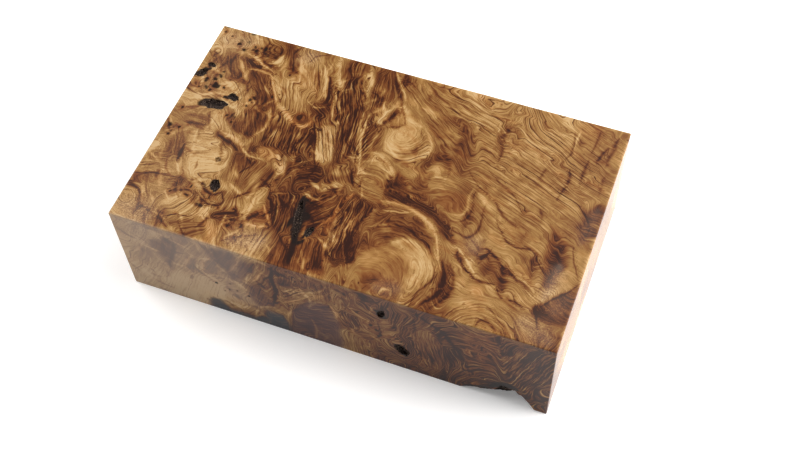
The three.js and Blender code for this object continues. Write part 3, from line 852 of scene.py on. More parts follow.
# Charred bark in the seam and the knots, with its strength as the tone.
TOP_CHAR = (
    Stroke(((55.4, 58.5), (56, 61), (57.2, 66), (58, 70), (59, 74)), 1.8, 1),
    Stroke(((58.6, 72), (58.8, 75), (59.8, 79), (60.4, 84)), 1.2, 0.5),
    Stroke(((58.6, 63.5), (59.6, 65.5)), 0.8, 0.8),
    Stroke(((55.4, 67), (55, 70.4)), 0.7, 0.7),
    Stroke(((60, 75), (61.6, 73)), 0.8, 0.75),
    Stroke(((61, 72), (62.5, 69.5), (63, 68)), 0.7, 0.9),
    spot(((0, 24), (1.5, 22), (3.5, 20)), 1.2, 0.9),
    spot(((3.4, 17.5), (4.6, 17.9)), 1.2, 0.9),
    spot(((8.7, 19.2), (9.4, 19.5)), 0.6, 0.8),
    spot(((8, 20.8), (9.6, 22)), 0.6, 0.8),
    spot(((7, 23), (8.2, 23.6)), 0.8, 0.8),
    spot(((8.4, 26.2), (10.4, 25.4)), 1.1, 0.75),
    spot(((4.6, 25), (5.4, 25.6)), 0.8, 0.6),
    spot(((6, 27), (6.6, 28)), 0.7, 0.65),
    spot(((7.5, 34.8), (9, 33.6), (13, 32.6), (15.6, 33.4)), 2, 0.8),
    spot(((15.8, 28.2), (18, 29.2)), 1.5, 0.8),
    Stroke(((27.6, 29), (29.4, 30)), 1, 0.45, crisp=1.5),
    spot(((23.2, 26.6), (24.2, 26.8)), 0.7, 0.5),
    spot(((40.4, 28.8), (42, 29)), 1.3, 0.5),
    Stroke(((19.6, 36.6), (21.4, 36.2)), 0.8, 0.5, crisp=1.5),
    spot(((29.6, 34.2), (30.6, 34.4)), 0.6, 0.5),
    Stroke(((8.2, 4.4), (9, 4.8)), 0.9, 0.45, crisp=1.5),
    Stroke(((11.4, 4.2), (11.8, 5)), 0.8, 0.5, crisp=1.5),
    Stroke(((11, 8), (12.2, 8.2)), 0.9, 0.5, crisp=1.5),
    spot(((18, 5), (18.8, 6.4)), 0.8, 0.75),
    spot(((19.6, 8), (21, 8.4)), 0.6, 0.6),
    spot(((1.6, 0.4), (2.6, 0.6)), 0.9, 0.7),
    spot(((11, 0.6), (12.4, 0.4)), 0.9, 0.6),
    spot(((1.6, 45.8), (2.6, 46.6)), 0.8, 0.7),
    spot(((26, 62), (28, 65.4)), 1.5, 0.85),
    spot(((22.6, 64.4), (24.6, 65)), 0.8, 0.5),
    spot(((24.6, 71.6), (26.6, 72.4)), 0.9, 0.6),
    Stroke(((23, 53.6), (23.8, 54.4)), 1, 0.45, crisp=1.5),
    spot(((49, 31.4), (50.2, 32.6)), 0.6, 0.6),
)
FRONT_CHAR = (
    Stroke(((90, 8), (91.4, 12)), 1.6, 0.8),
    Stroke(((95, 26), (98.5, 32)), 2.2, 0.8),
    Stroke(((126.5, 33.6), (129, 30.6), (132, 29.8), (134.6, 31.2)), 1.8, 1),
    Stroke(((117, 39.6), (121, 37.2), (125.5, 35.4)), 0.9, 0.8),
)

# Where growth lines stand out, with their strength as the tone.
TOP_LINES = (
    Stroke(((88, 6), (112, 18), (136, 30)), 14, 0.7),
    Stroke(((98, 42), (112, 55), (124, 70)), 9, -0.15),
    Stroke(((82, 23), (84, 29), (79, 35)), 3, 0.5),
    Stroke(((95, 64), (99, 72), (98, 84)), 4, -0.1),
    Stroke(((52, 12), (55, 30), (66, 42)), 9, 0.6),
    Stroke(((36, 32), (44, 46)), 6, 0.7),
    Stroke(((70, 55), (72, 75)), 5, 0.9),
    Stroke(((74, 16), (76, 24), (73, 31)), 3.5, -0.7),
    Stroke(((84, 72), (92, 73)), 6, -0.7),
    Stroke(((15, 57), (21, 56)), 5, -0.4),
    Stroke(((143, 46), (140, 64)), 3, -0.6),
    Stroke(((142, 67), (142, 78)), 4, -0.5),
    Stroke(((8, 10), (10, 40), (14, 76)), 12, -0.3),
)
FRONT_LINES = (
    Facet(((-2, -1), (52, -1), (50, 20), (54, 30), (30, 42), (-2, 42)), -0.4, soft=5),
    Facet(((52, -1), (147, -1), (147, 42), (60, 42), (56, 20)), 0.5, soft=4),
)

# Where the cut crosses the fibre and shows it as grey flecks, with a painted haze of reflected light over
# them, with the strength as the tone.
TOP_FLECKS_AND_HAZE = (
    Stroke(((2, 80), (12, 83)), 5, 0.9),
    Stroke(((40, 81), (50, 78)), 4, 0.9),
    Stroke(((110, 56), (112, 60)), 3, 0.6),
    Stroke(((137.5, 56), (137, 62), (136, 69)), 2.4, 0.9),
    Stroke(((143, 33), (141, 46)), 3, 0.4),
    Stroke(((140, 72), (143, 66)), 4, 0.5),
    Stroke(((132, 78), (142, 82)), 4, 0.7),
    Stroke(((2, 6), (14, 4)), 4, 0.5),
    Stroke(((6, 4), (9, 42), (12, 82)), 13, 0.35),
    Stroke(((88, 82), (95, 80)), 3, 0.5),
    Stroke(((36, 2), (32, 6)), 3, 0.6),
)


# A cluster of pin knots: its middle on the face, how far they spread along and down, how many there are and
# the radius of the largest.
class Cluster(NamedTuple):
    middle: tuple
    spread: tuple
    count: int
    radius: float


CLUSTERS = {
    "top": (
        Cluster((6, 23), (7, 6), 16, 0.6),
        Cluster((11, 6), (9, 4), 14, 0.7),
        Cluster((20, 30), (9, 5), 16, 0.6),
        Cluster((5, 46), (4, 6), 8, 0.6),
        Cluster((22, 70), (12, 6), 14, 0.6),
        Cluster((61, 60), (5, 6), 8, 0.6),
    ),
    "front": (
        Cluster((93, 18), (9, 10), 14, 0.8),
        Cluster((38, 26), (10, 8), 8, 0.7),
    ),
}


# Sizes and colours that a user would change.
class BurlBlockSettings(bpy.types.PropertyGroup):
    grid_spacing: bpy.props.FloatProperty(
        name="Grid Spacing",
        description="Distance between the points that carry the figure",
        default=0.5 * MM,
        unit="LENGTH",
    )
    arris_radius: bpy.props.FloatProperty(
        name="Arris Radius",
        description="Radius that sanding has left on the sawn edges",
        default=0.4 * MM,
        unit="LENGTH",
    )
    arris_wear: bpy.props.FloatProperty(
        name="Arris Wear",
        description="How unevenly the edges are rubbed down",
        default=0.6,
        subtype="FACTOR",
        min=0,
        max=1,
    )
    ring_spacing: bpy.props.FloatProperty(
        name="Ring Spacing",
        description="Distance between the dark growth lines",
        default=1.15 * MM,
        unit="LENGTH",
    )
    bark_colour: bpy.props.FloatVectorProperty(
        name="Bark",
        description="Colour of the bark left in the pocket and the pits",
        default=linear("#150c08"),
        size=3,
        subtype="COLOR",
    )


class BurlStageSettings(bpy.types.PropertyGroup):
    floor_colour: bpy.props.FloatVectorProperty(
        name="Floor",
        description="Colour of the plain studio floor",
        default=linear("#fdfcfb"),
        size=3,
        subtype="COLOR",
    )
    lens: bpy.props.FloatProperty(
        name="Lens",
        description="Focal length on a 36 mm wide frame, in millimetres",
        default=52.74,
    )


# Short names for the node kinds that are used most, and the sockets of a Mix node that mixes colours.
MATH, VECTOR, NOISE = "ShaderNodeMath", "ShaderNodeVectorMath", "ShaderNodeTexNoise"
MIX_SHARE, MIX_FIRST, MIX_SECOND, MIX_RESULT = 0, 6, 7, 2


def add(tree, kind, inputs=None, operation=None, out=0, **settings):
    """Adds a node with its settings, sets or links its inputs, and returns the named output."""
    node = tree.nodes.new(kind)
    if operation:
        node.operation = operation
    for name, value in settings.items():
        setattr(node, name, value)
    for name, value in (inputs or {}).items():
        if isinstance(value, bpy.types.NodeSocket):
            tree.links.new(value, node.inputs[name])
        else:
            node.inputs[name].default_value = value
    return node.outputs[out] if node.outputs else node


def smooth_path(points, steps):
    """A smooth line through the points, as a number of places evenly spread from one end to the other."""
    points = np.asarray(points, float)
    padded = np.vstack([2 * points[0] - points[1], points, 2 * points[-1] - points[-2]])
    place = np.linspace(0, len(points) - 1, steps)
    i = np.minimum(place.astype(int), len(points) - 2)
    t = (place - i)[:, None]
    before, start, end, after = (padded[i + k] for k in range(4))
    return 0.5 * (
        2 * start
        + (end - before) * t
        + (2 * before - 5 * start + 4 * end - after) * t**2
        + (3 * start - before - 3 * end + after) * t**3
    )


def noise_at(points, size, channel):
    """Smooth noise from -1 to 1 at the points, with lumps of the size given in millimetres. Each channel is
    taken from another part of the noise."""
    channel_step = 37.3
    shift = channel_step * channel + SEED
    scaled = points / size + shift
    return np.fromiter((noise.noise(Vector(p)) for p in scaled), float, len(scaled))


def mesh_from(name, vertices, faces):
    """A mesh of the faces, all turned outwards."""
    mesh = bpy.data.meshes.new(name)
    mesh.from_pydata(vertices, [], faces)
    shell = bmesh.new()
    shell.from_mesh(mesh)
    bmesh.ops.recalc_face_normals(shell, faces=shell.faces)
    shell.to_mesh(mesh)
    shell.free()
    return mesh


# The sides of the block with small cells, as the axis that a side faces and the end of it: the top and the
# front. On the others, squares of this many cells each way are merged, all but the outer rows.
FINE_SIDES = {(2, 1), (1, 0)}
MERGED_CELLS = 3
OUTER_ROWS = 2


def cell_steps(count, is_fine):
    """The grid lines that cells lie between, along one edge of a side that is this many small cells long."""
    if is_fine:
        return range(count + 1)
    inner = range(OUTER_ROWS, count - OUTER_ROWS + 1, MERGED_CELLS)
    return [*range(OUTER_ROWS), *inner, *range(count - OUTER_ROWS + 1, count + 1)]


def cell_rim(low_a, high_a, low_b, high_b):
    """The grid points round a cell, in order."""
    rim = [(i, low_b) for i in range(low_a, high_a)]
    rim += [(high_a, j) for j in range(low_b, high_b)]
    rim += [(i, high_b) for i in range(high_a, low_a, -1)]
    rim += [(low_a, j) for j in range(high_b, low_b, -1)]
    return rim


def side_cells(axis, side, counts):
    """The cells of one side of the block, each as the grid points round it. Between its corners, a merged
    cell has points only where it meets a side with small cells."""
    a, b = (axis + 1) % 3, (axis + 2) % 3
    is_fine = (axis, side) in FINE_SIDES
    steps_a, steps_b = cell_steps(counts[a], is_fine), cell_steps(counts[b], is_fine)
    for low_a, high_a in zip(steps_a, steps_a[1:]):
        for low_b, high_b in zip(steps_b, steps_b[1:]):
            cell = []
            for i, j in cell_rim(low_a, high_a, low_b, high_b):
                is_corner = i in (low_a, high_a) and j in (low_b, high_b)
                steps = ((a, i), (b, j))
                beside = {(other, int(step > 0)) for other, step in steps if step in (0, counts[other])}
                if is_corner or beside & FINE_SIDES:
                    point = {axis: side * counts[axis], a: i, b: j}
                    cell.append((point[0], point[1], point[2]))
            yield cell


def block_cells(spacing):
    """The square block as a mesh of cells, small on the top and the front and merged on the other sides."""
    size = np.array([LENGTH, WIDTH, HEIGHT]) * MM
    squares = np.round((size / spacing - 2 * OUTER_ROWS) / MERGED_CELLS).astype(int)
    counts = 2 * OUTER_ROWS + MERGED_CELLS * squares
    indices, faces = {}, []
    for axis in range(3):
        for side in (0, 1):
            for cell in side_cells(axis, side, counts):
                faces.append([indices.setdefault(point, len(indices)) for point in cell])
    return mesh_from("block_cells", (np.array(list(indices)) / counts - 0.5) * size, faces)


def pocket_mesh():
    """The space that the bark left: a round of sections about the arris, ragged as torn bark is."""
    steps_along, steps_round = 110, 120
    # Coarse and fine tatters: how far they stand out, and their size.
    coarse, coarse_size = 0.1, 2.6
    fine, fine_size = 0.09, 0.9
    # They are taken from noise on a tube of this radius. No section of the pocket is thinner than the least.
    tube_radius, least = 3, 0.02
    stations = smooth_path(POCKET_STATIONS, steps_along)
    vertices, faces = [], []
    for x, depth, height in stations[1:-1]:
        for k in range(steps_round):
            around = 2 * math.pi * k / steps_round
            place = Vector((x, tube_radius * math.cos(around), tube_radius * math.sin(around)))
            ragged = 1 + coarse * noise.noise(place / coarse_size) + fine * noise.noise(place / fine_size)
            y = max(depth, least) * ragged * math.cos(around) + FRONT
            z = max(height, least) * ragged * math.sin(around)
            vertices.append(Vector((x, y, z)) * MM)
    rounds = steps_along - 2
    for i in range(rounds - 1):
        for k in range(steps_round):
            a, b = i * steps_round + k, i * steps_round + (k + 1) % steps_round
            faces.append((a, b, b + steps_round, a + steps_round))
    for end, (x, _, _) in ((0, stations[0]), (rounds - 1, stations[-1])):
        tip = len(vertices)
        vertices.append(Vector((x, FRONT, 0)) * MM)
        for k in range(steps_round):
            a, b = end * steps_round + k, end * steps_round + (k + 1) % steps_round
            faces.append((tip, b, a) if end == 0 else (tip, a, b))
    return mesh_from("bark_pocket", vertices, faces)


def pit_mesh(face, pit):
    """A ragged dish, sunk half into its face."""
    # Coarse and fine tatters: how far they stand out, and how many there are to the radius.
    coarse, coarse_rate = 0.2, 1.4
    fine, fine_rate = 0.3, 3.5
    dish = bmesh.new()
    bmesh.ops.create_icosphere(dish, subdivisions=4, radius=1)
    along, across = face.turned(pit.turn)
    middle = face.points(pit.middle)[0]
    # Each pit is taken from another part of the noise.
    shift = Vector(middle)
    for vertex in dish.verts:
        p = vertex.co
        swell = 1 + coarse * noise.noise(p * coarse_rate + shift) + fine * noise.noise(p * fine_rate + shift)
        moved = p * swell
        place = (
            middle
            + along * moved.x * pit.length / 2
            + across * moved.y * pit.width / 2
            + face.normal() * moved.z * pit.depth
        )
        vertex.co = Vector(place) * MM
    mesh = bpy.data.meshes.new("pit")
    dish.to_mesh(mesh)
    dish.free()
    return mesh


def hollows_collection(linings):
    """The pocket and the pits as objects that the block is cut by, each with its lining as its material."""
    collection = bpy.data.collections.new("hollows")
    bpy.context.scene.collection.children.link(collection)
    lined = [(pocket_mesh(), "bark")]
    for name, pits in PITS.items():
        lined += [(pit_mesh(FACES[name], pit), pit.lining) for pit in pits]
    for mesh, lining in lined:
        mesh.materials.append(linings[lining])
        collection.objects.link(bpy.data.objects.new(mesh.name, mesh))
    return collection


def sawn_block_tree():
    """Geometry Nodes for the sawn block: cells drawn in to the arrises, which are rubbed round."""
    tree = bpy.data.node_groups.new("sawn_block", "GeometryNodeTree")
    sockets = {}
    for name, kind in (
        ("Cells", "NodeSocketGeometry"),
        ("Size", "NodeSocketVector"),
        ("Grid Spacing", "NodeSocketFloat"),
        ("Arris Radius", "NodeSocketFloat"),
        ("Arris Wear", "NodeSocketFloat"),
        ("Wood", "NodeSocketMaterial"),
    ):
        sockets[name] = tree.interface.new_socket(name, in_out="INPUT", socket_type=kind).identifier
    tree.interface.new_socket("Block", in_out="OUTPUT", socket_type="NodeSocketGeometry")
    given = tree.nodes.new("NodeGroupInput").outputs
    radius = given["Arris Radius"]

    # The outer rows of cells on every face, and a little more, are drawn in to the arris, to bend round it.
    drawn_rows = OUTER_ROWS + 0.2
    place = add(tree, "GeometryNodeInputPosition")
    half = add(tree, VECTOR, {0: given["Size"], 1: (0.5, 0.5, 0.5)}, "MULTIPLY")
    rows = add(tree, VECTOR, {0: given["Grid Spacing"], 1: (drawn_rows,) * 3}, "MULTIPLY")
    side = add(tree, VECTOR, {0: place}, "SIGN")
    out = add(tree, VECTOR, {0: place}, "ABSOLUTE")
    gap = add(tree, VECTOR, {0: half, 1: out}, "SUBTRACT")
    near = add(tree, VECTOR, {0: gap, 1: rows}, "MINIMUM")
    near = add(tree, VECTOR, {0: near, 1: radius}, "MULTIPLY")
    near = add(tree, VECTOR, {0: near, 1: rows}, "DIVIDE")
    beyond = add(tree, VECTOR, {0: gap, 1: rows}, "SUBTRACT")
    beyond = add(tree, VECTOR, {0: beyond, 1: (0, 0, 0)}, "MAXIMUM")
    wide = add(tree, VECTOR, {0: half, 1: radius}, "SUBTRACT")
    narrow = add(tree, VECTOR, {0: half, 1: rows}, "SUBTRACT")
    stretch = add(tree, VECTOR, {0: wide, 1: narrow}, "DIVIDE")
    gap = add(tree, VECTOR, {0: beyond, 1: stretch, 2: near}, "MULTIPLY_ADD")
    drawn = add(tree, VECTOR, {0: half, 1: gap}, "SUBTRACT")
    drawn = add(tree, VECTOR, {0: side, 1: drawn}, "MULTIPLY")
    # Sanding has rubbed the arrises round, more in some places than in others.
    rub_size = 9 * MM
    rub = add(tree, NOISE, {"Vector": place, "Scale": 1 / rub_size, "Detail": 2.0}, out="Fac")
    uneven = add(tree, MATH, {0: rub, 1: 1.0}, "SUBTRACT")
    uneven = add(tree, MATH, {0: uneven, 1: given["Arris Wear"], 2: 1.0}, "MULTIPLY_ADD")
    worn = add(tree, MATH, {0: radius, 1: uneven}, "MULTIPLY")
    core_high = add(tree, VECTOR, {0: half, 1: worn}, "SUBTRACT")
    core_low = add(tree, VECTOR, {0: core_high, 1: (-1, -1, -1)}, "MULTIPLY")
    core = add(tree, VECTOR, {0: drawn, 1: core_high}, "MINIMUM")
    core = add(tree, VECTOR, {0: core, 1: core_low}, "MAXIMUM")
    outward = add(tree, VECTOR, {0: drawn, 1: core}, "SUBTRACT")
    outward = add(tree, VECTOR, {0: outward}, "NORMALIZE")
    rounded = add(tree, VECTOR, {0: outward, 1: worn, 2: core}, "MULTIPLY_ADD")
    lifted = add(tree, VECTOR, {0: half, 1: (0, 0, 1), 2: rounded}, "MULTIPLY_ADD")
    block = add(tree, "GeometryNodeSetPosition", {"Geometry": given["Cells"], "Position": lifted})
    block = add(tree, "GeometryNodeRealizeInstances", {0: block})
    block = add(tree, "GeometryNodeSetMaterial", {"Geometry": block, "Material": given["Wood"]})
    add(tree, "NodeGroupOutput", {"Block": block})
    return tree, sockets


# Strokes thinner than this are drawn as lines, finer than the points of the mesh. A line's place is kept up
# to this many half widths from it, and it fades this far into the block, in millimetres.
LINE_WIDTH = 0.95
LINE_REACH = 4
LINE_DEPTH = 3


def stroke_weights(points, face, stroke):
    """How strongly a stroke marks each point: 1 along its middle, fading across and towards its ends."""
    path_steps = 24
    path = face.points(smooth_path(stroke.path, path_steps))
    # A stroke reaches further into the block than across its face, where it ends at some half widths.
    depth_share, faded_at = 0.4, 2.6
    # A stroke under the thinnest is drawn at that width, but fainter.
    thinnest = 0.5
    width = max(stroke.width, thinnest)
    reach = faded_at * width / depth_share
    near = np.flatnonzero(((points > path.min(0) - reach) & (points < path.max(0) + reach)).all(1))
    weights = np.zeros(len(points))
    if not len(near):
        return weights
    # It narrows to its ends as half a wave does, with a share of it cut off at each end, and bluntly.
    end, bluntness, end_share = 0.04, 0.6, 0.7
    taper = np.sin(math.pi * np.linspace(end, 1 - end, path_steps)) ** bluntness
    widths = np.maximum(width * taper, end_share * thinnest)
    offsets = points[near][:, None, :] - path[None]
    sunk = offsets @ face.normal()
    squared = (offsets**2).sum(2) - (1 - depth_share**2) * sunk**2
    share = (squared / widths**2).min(1)
    # A faint halo lies round the stroke itself.
    core, halo, halo_spread = 0.8, 0.2, 3
    faint = min(stroke.width / thinnest, 1)
    weights[near] = faint * (core * np.exp(-(share**stroke.crisp)) + halo * np.exp(-share / halo_spread))
    return weights


def facet_weights(points, face, facet):
    """How strongly a facet marks each point: 1 inside, fading across its edge and into the block."""
    # How many times its softness its edge fades over and how steeply, how deep it goes, and how near the edge
    # of the face it counts as meeting it.
    faded_at, steepness, deepest, edge_margin = 3, 2.5, 6, 1
    reach = faded_at * facet.soft
    # A facet that meets the edge of its face runs on over it.
    outline = np.asarray(facet.outline, float)
    outline = np.where(outline <= 0, outline - reach, outline)
    outline = np.where(outline >= np.array(face.size()) - edge_margin, outline + reach, outline)
    offsets = points - np.asarray(face.corner)
    marks = offsets @ np.array([face.along, face.down], float).T
    sunk = 1 + offsets @ face.normal() / deepest
    inside_box = ((marks > outline.min(0) - reach) & (marks < outline.max(0) + reach)).all(1)
    near = np.flatnonzero(inside_box & (sunk > 0))
    weights = np.zeros(len(points))
    x, y = marks[near].T
    gap = np.full(len(near), np.inf)
    inside = np.zeros(len(near), bool)
    for (x0, y0), (x1, y1) in zip(outline, np.roll(outline, -1, 0)):
        dx, dy = x1 - x0, y1 - y0
        share = np.clip(((x - x0) * dx + (y - y0) * dy) / (dx * dx + dy * dy), 0, 1)
        gap = np.minimum(gap, np.hypot(x - x0 - share * dx, y - y0 - share * dy))
        if dy:
            inside ^= ((y0 > y) != (y1 > y)) & (x < x0 + dx * (y - y0) / dy)
    signed = np.where(inside, gap, -gap)
    weights[near] = np.clip(sunk[near], 0, 1) / (1 + np.exp(-steepness * signed / facet.soft))
    return weights


def thin_line(points, face, stroke):
    """Where a thin stroke passes: the points near it, how many half widths each lies to one side of it or the
    other, and how strongly it is drawn there."""
    path_steps, margin = 48, 1
    path = face.points(smooth_path(stroke.path, path_steps))
    reach = LINE_REACH * stroke.width + margin
    near = np.flatnonzero(((points > path.min(0) - reach) & (points < path.max(0) + reach)).all(1))
    heading = np.gradient(path, axis=0)
    spacing = np.linalg.norm(heading, axis=1)
    heading /= spacing[:, None]
    right = np.cross(heading, face.normal())
    offsets = points[near][:, None, :] - path[None]
    nearest = (offsets**2).sum(2).argmin(1)
    offset = offsets[np.arange(len(near)), nearest]
    # The line thins to its ends as half a wave does, with this share of it cut off at each end.
    end = 0.12
    taper = np.sin(math.pi * np.linspace(end, 1 - end, path_steps))[nearest]
    gap = (offset * right[nearest]).sum(1) / (stroke.width * taper)
    past_end = np.maximum(abs((offset * heading[nearest]).sum(1)) - spacing[nearest], 0)
    sunk = offset @ face.normal()
    strength = np.exp(-((past_end / stroke.width) ** 2) - (sunk / LINE_DEPTH) ** 2)
    return near, gap, strength * taper**0.5 * np.clip(LINE_REACH - abs(gap), 0, 1)


def thin_lines(points, faces_marks):
    """The nearest thin line at each point: how many of its half widths away it is, with a sign for the side,
    and its tone there."""
    gaps = np.full(len(points), float(LINE_REACH))
    tones = np.zeros(len(points))
    for name, marks in faces_marks.items():
        for mark in marks:
            near, gap, strength = thin_line(points, FACES[name], mark)
            closer = abs(gap) < abs(gaps[near])
            gaps[near[closer]] = gap[closer]
            tones[near[closer]] = mark.tone * strength[closer]
    return gaps, tones


def eye_rise(points, face, eye):
    """How far an eye lifts the growth layers at each point."""
    along, across = face.turned(eye.turn)
    offsets = points - face.points(eye.middle)[0]
    depth_share = 1.3
    depth = depth_share * min(eye.radii)
    share = (
        (offsets @ along / eye.radii[0]) ** 2
        + (offsets @ across / eye.radii[1]) ** 2
        + (offsets @ face.normal() / depth) ** 2
    )
    return eye.rise * np.exp(-share)


HIDDEN_FACES = ("back", "left end", "right end", "underside")


def scattered(rng, face, area_to_each):
    """Places at random all over a face, one to so many square millimetres."""
    across, down = face.size()
    return rng.uniform((0, 0), (across, down), (int(across * down / area_to_each), 2))


def hidden_figure(rng):
    """Strokes and eyes for the faces that are turned away, drawn at random with a fixed seed."""
    area_to_stroke, area_to_eye = 90, 360
    strokes, eyes = {}, {}
    for name in HIDDEN_FACES:
        strokes[name] = []
        for start in scattered(rng, FACES[name], area_to_stroke):
            heading = rng.uniform(-0.9, 0.9)
            step = rng.uniform(3, 9) * np.array([math.cos(heading), math.sin(heading)])
            bend = rng.uniform(-2.5, 2.5, 2)
            path = (tuple(start), tuple(start + step + bend), tuple(start + 2 * step))
            tone = rng.choice((-1, 1)) * rng.uniform(0.25, 0.7)
            strokes[name].append(Stroke(path, rng.uniform(0.7, 4), tone, rng.uniform(0, 0.5)))
        eyes[name] = []
        for middle in scattered(rng, FACES[name], area_to_eye):
            radius = rng.uniform(2.5, 9)
            radii = (radius, radius * rng.uniform(0.7, 1.4))
            eyes[name].append(Eye(tuple(middle), radii, rng.uniform(0, 180), radius * rng.uniform(0.8, 1.3)))
    return strokes, eyes


def pin_knots(rng):
    """The small knots of every cluster, each a charred spot with a red rim and a swelling of its own."""
    # The spread of a cluster is this many standard deviations.
    deviations = 1.6
    # To the radius of a spot: the half width of its rim, and how far its swelling reaches and rises.
    rim_width, swelling_reach, swelling_rise = 1.8, 2.2, 2
    rim_tone, rim_glow = -0.5, 0.6
    spots, rims, eyes = {}, {}, {}
    for name, clusters in CLUSTERS.items():
        spots[name], rims[name], eyes[name] = [], [], []
        for cluster in clusters:
            deviation = np.array(cluster.spread) / deviations
            for middle in rng.normal(cluster.middle, deviation, (cluster.count, 2)):
                radius = cluster.radius * rng.uniform(0.35, 1)
                turn = rng.uniform(0, math.pi)
                reach = radius * np.array([math.cos(turn), math.sin(turn)])
                path = (tuple(middle - 0.5 * reach), tuple(middle + 0.5 * reach))
                spots[name].append(spot(path, radius, rng.uniform(0.5, 1)))
                rims[name].append(Stroke(path, rim_width * radius, rim_tone, glow=rim_glow))
                radii = (swelling_reach * radius, swelling_reach * radius)
                eyes[name].append(Eye(tuple(middle), radii, 0, swelling_rise * radius))
    return spots, rims, eyes


def marked(points, faces_marks):
    """What marks do at each point: their summed tone, the strongest glow, and the swell of the layers."""
    # How far a stroke swells to its half width, how far a facet swells to its tone, and the most it can.
    stroke_rise, facet_rise, most = 1.1, 5, 2
    tone, glow, swell = np.zeros((3, len(points)))
    for name, marks in faces_marks.items():
        for mark in marks:
            if isinstance(mark, Stroke):
                weight = stroke_weights(points, FACES[name], mark)
                rise = math.copysign(stroke_rise * mark.width, mark.tone)
            else:
                weight = facet_weights(points, FACES[name], mark)
                rise = np.clip(facet_rise * mark.tone, -most, most)
            tone += mark.tone * weight
            glow = np.maximum(glow, mark.glow * weight)
            swell += rise * weight
    return tone, glow, swell


def joined(*by_face):
    """Several sets of marks as one, face by face."""
    return {name: [mark for marks in by_face for mark in marks.get(name, ())] for name in FACES}


def chosen(by_face, wanted):
    """The marks of a set that are wanted, face by face."""
    return {name: [mark for mark in marks if wanted(mark)] for name, marks in by_face.items()}


# How the growth layers lie in the left half of the block and in the right: across them, and along the grain.
ACROSS_LEFT, ACROSS_RIGHT = np.array([-0.75, -0.2, 0.35]), np.array([-0.37, -0.93, 0.3])
ALONG_LEFT, ALONG_RIGHT = np.array([0.27, -0.9, -0.3]), np.array([0.92, -0.37, 0.1])


def small_figure(rng):
    """Small strokes all over the two drawn faces, along the grain, drawn at random with a fixed seed. In the
    right half of the block they keep closer to the grain, and are fainter and broader."""
    area_to_stroke = 22
    strokes = {}
    for name, spread in (("top", 0.5), ("front", 0.8)):
        face = FACES[name]
        strokes[name] = []
        for start in scattered(rng, face, area_to_stroke):
            if start[0] > LENGTH / 2:
                along, stray, contrast, breadth = ALONG_RIGHT, 0.4, 0.6, 1
            else:
                along, stray, contrast, breadth = ALONG_LEFT, 1, 1.8, 0.7
            heading = math.atan2(along @ face.down, along @ face.along)
            heading += rng.normal(0, spread * stray)
            step = rng.uniform(1.2, 4) * np.array([math.cos(heading), math.sin(heading)])
            bend = rng.uniform(-0.8, 0.8, 2)
            path = (tuple(start - step), tuple(start + bend), tuple(start + step))
            tone = rng.choice((-1, 1)) * rng.uniform(0.1, 0.35) * contrast
            width = rng.uniform(0.45, 1.1) * breadth
            strokes[name].append(Stroke(path, width, tone, glow=rng.uniform(0, 0.3)))
    return strokes


def hidden_facets(rng):
    """Facets for the faces that are turned away, drawn at random with a fixed seed, with their fibre more or
    less along the grain."""
    area_to_facet, corners, stray_degrees = 120, 8, 25
    facets = {}
    for name in HIDDEN_FACES:
        face = FACES[name]
        facets[name] = []
        for middle in scattered(rng, face, area_to_facet):
            angles = np.sort(rng.uniform(0, 2 * math.pi, corners))
            radii = rng.uniform(2.5, 8) * rng.uniform(0.6, 1.4, corners)
            outline = middle + radii[:, None] * np.stack([np.cos(angles), np.sin(angles)], 1)
            along = ALONG_RIGHT if face.points(middle)[0][0] > 0 else ALONG_LEFT
            turn = math.degrees(math.atan2(-(along @ face.down), along @ face.along))
            turn += rng.normal(0, stray_degrees)
            tone = rng.choice((-1, 1)) * rng.uniform(0.1, 0.45)
            facets[name].append(Facet(outline, tone, turn, soft=1))
    return facets


def facet_lie(points, face, facet, growth, grain, to_right):
    """Turns the growth layers and the grain inside a facet to its own lie."""
    weights = facet_weights(points, face, facet)
    if not weights.any():
        return
    if facet.rings:
        offsets = points - face.points(facet.rings)[0]
        x, y = offsets @ face.along, offsets @ face.down
        layers = np.hypot(x, y)
        fibre = np.arctan2(y, x) * np.average(layers, weights=weights)
    else:
        along, across = face.turned(facet.turn)
        lie = ACROSS_LEFT + np.average(to_right, weights=weights) * (ACROSS_RIGHT - ACROSS_LEFT)
        layers = points @ across * math.copysign(1, across @ lie)
        fibre = points @ along
    for field, turned in ((growth, layers), (grain, fibre)):
        level = np.average(field - turned, weights=weights)
        field += weights * (level + turned - field)


def figure_marks():
    """The marks of the figure by kind and face: drawn one by one on the top and the front, and at random
    elsewhere."""
    rng = np.random.default_rng(SEED)
    hidden_strokes, hidden_eyes = hidden_figure(rng)
    spots, rims, knot_eyes = pin_knots(rng)
    strokes = joined({"top": TOP_STROKES, "front": FRONT_STROKES}, small_figure(rng))
    return {
        "facets": joined({"top": TOP_FACETS, "front": FRONT_FACETS}, hidden_facets(rng)),
        "broad": chosen(strokes, lambda stroke: stroke.width >= LINE_WIDTH),
        "thin": chosen(strokes, lambda stroke: stroke.width < LINE_WIDTH),
        "flat": joined(hidden_strokes, rims),
        "eyes": joined({"top": TOP_EYES, "front": FRONT_EYES}, hidden_eyes, knot_eyes),
        "char": joined({"top": TOP_CHAR, "front": FRONT_CHAR}, spots),
    }


def right_share(points):
    """0 in the left part of the block, where the layers run steeply across it, and 1 in the right part, where
    they slope gently, with a smooth change between."""
    change_start, change_width = -18, 26
    share = np.clip((points[:, 0] - change_start) / change_width, 0, 1)
    return share**2 * (3 - 2 * share)


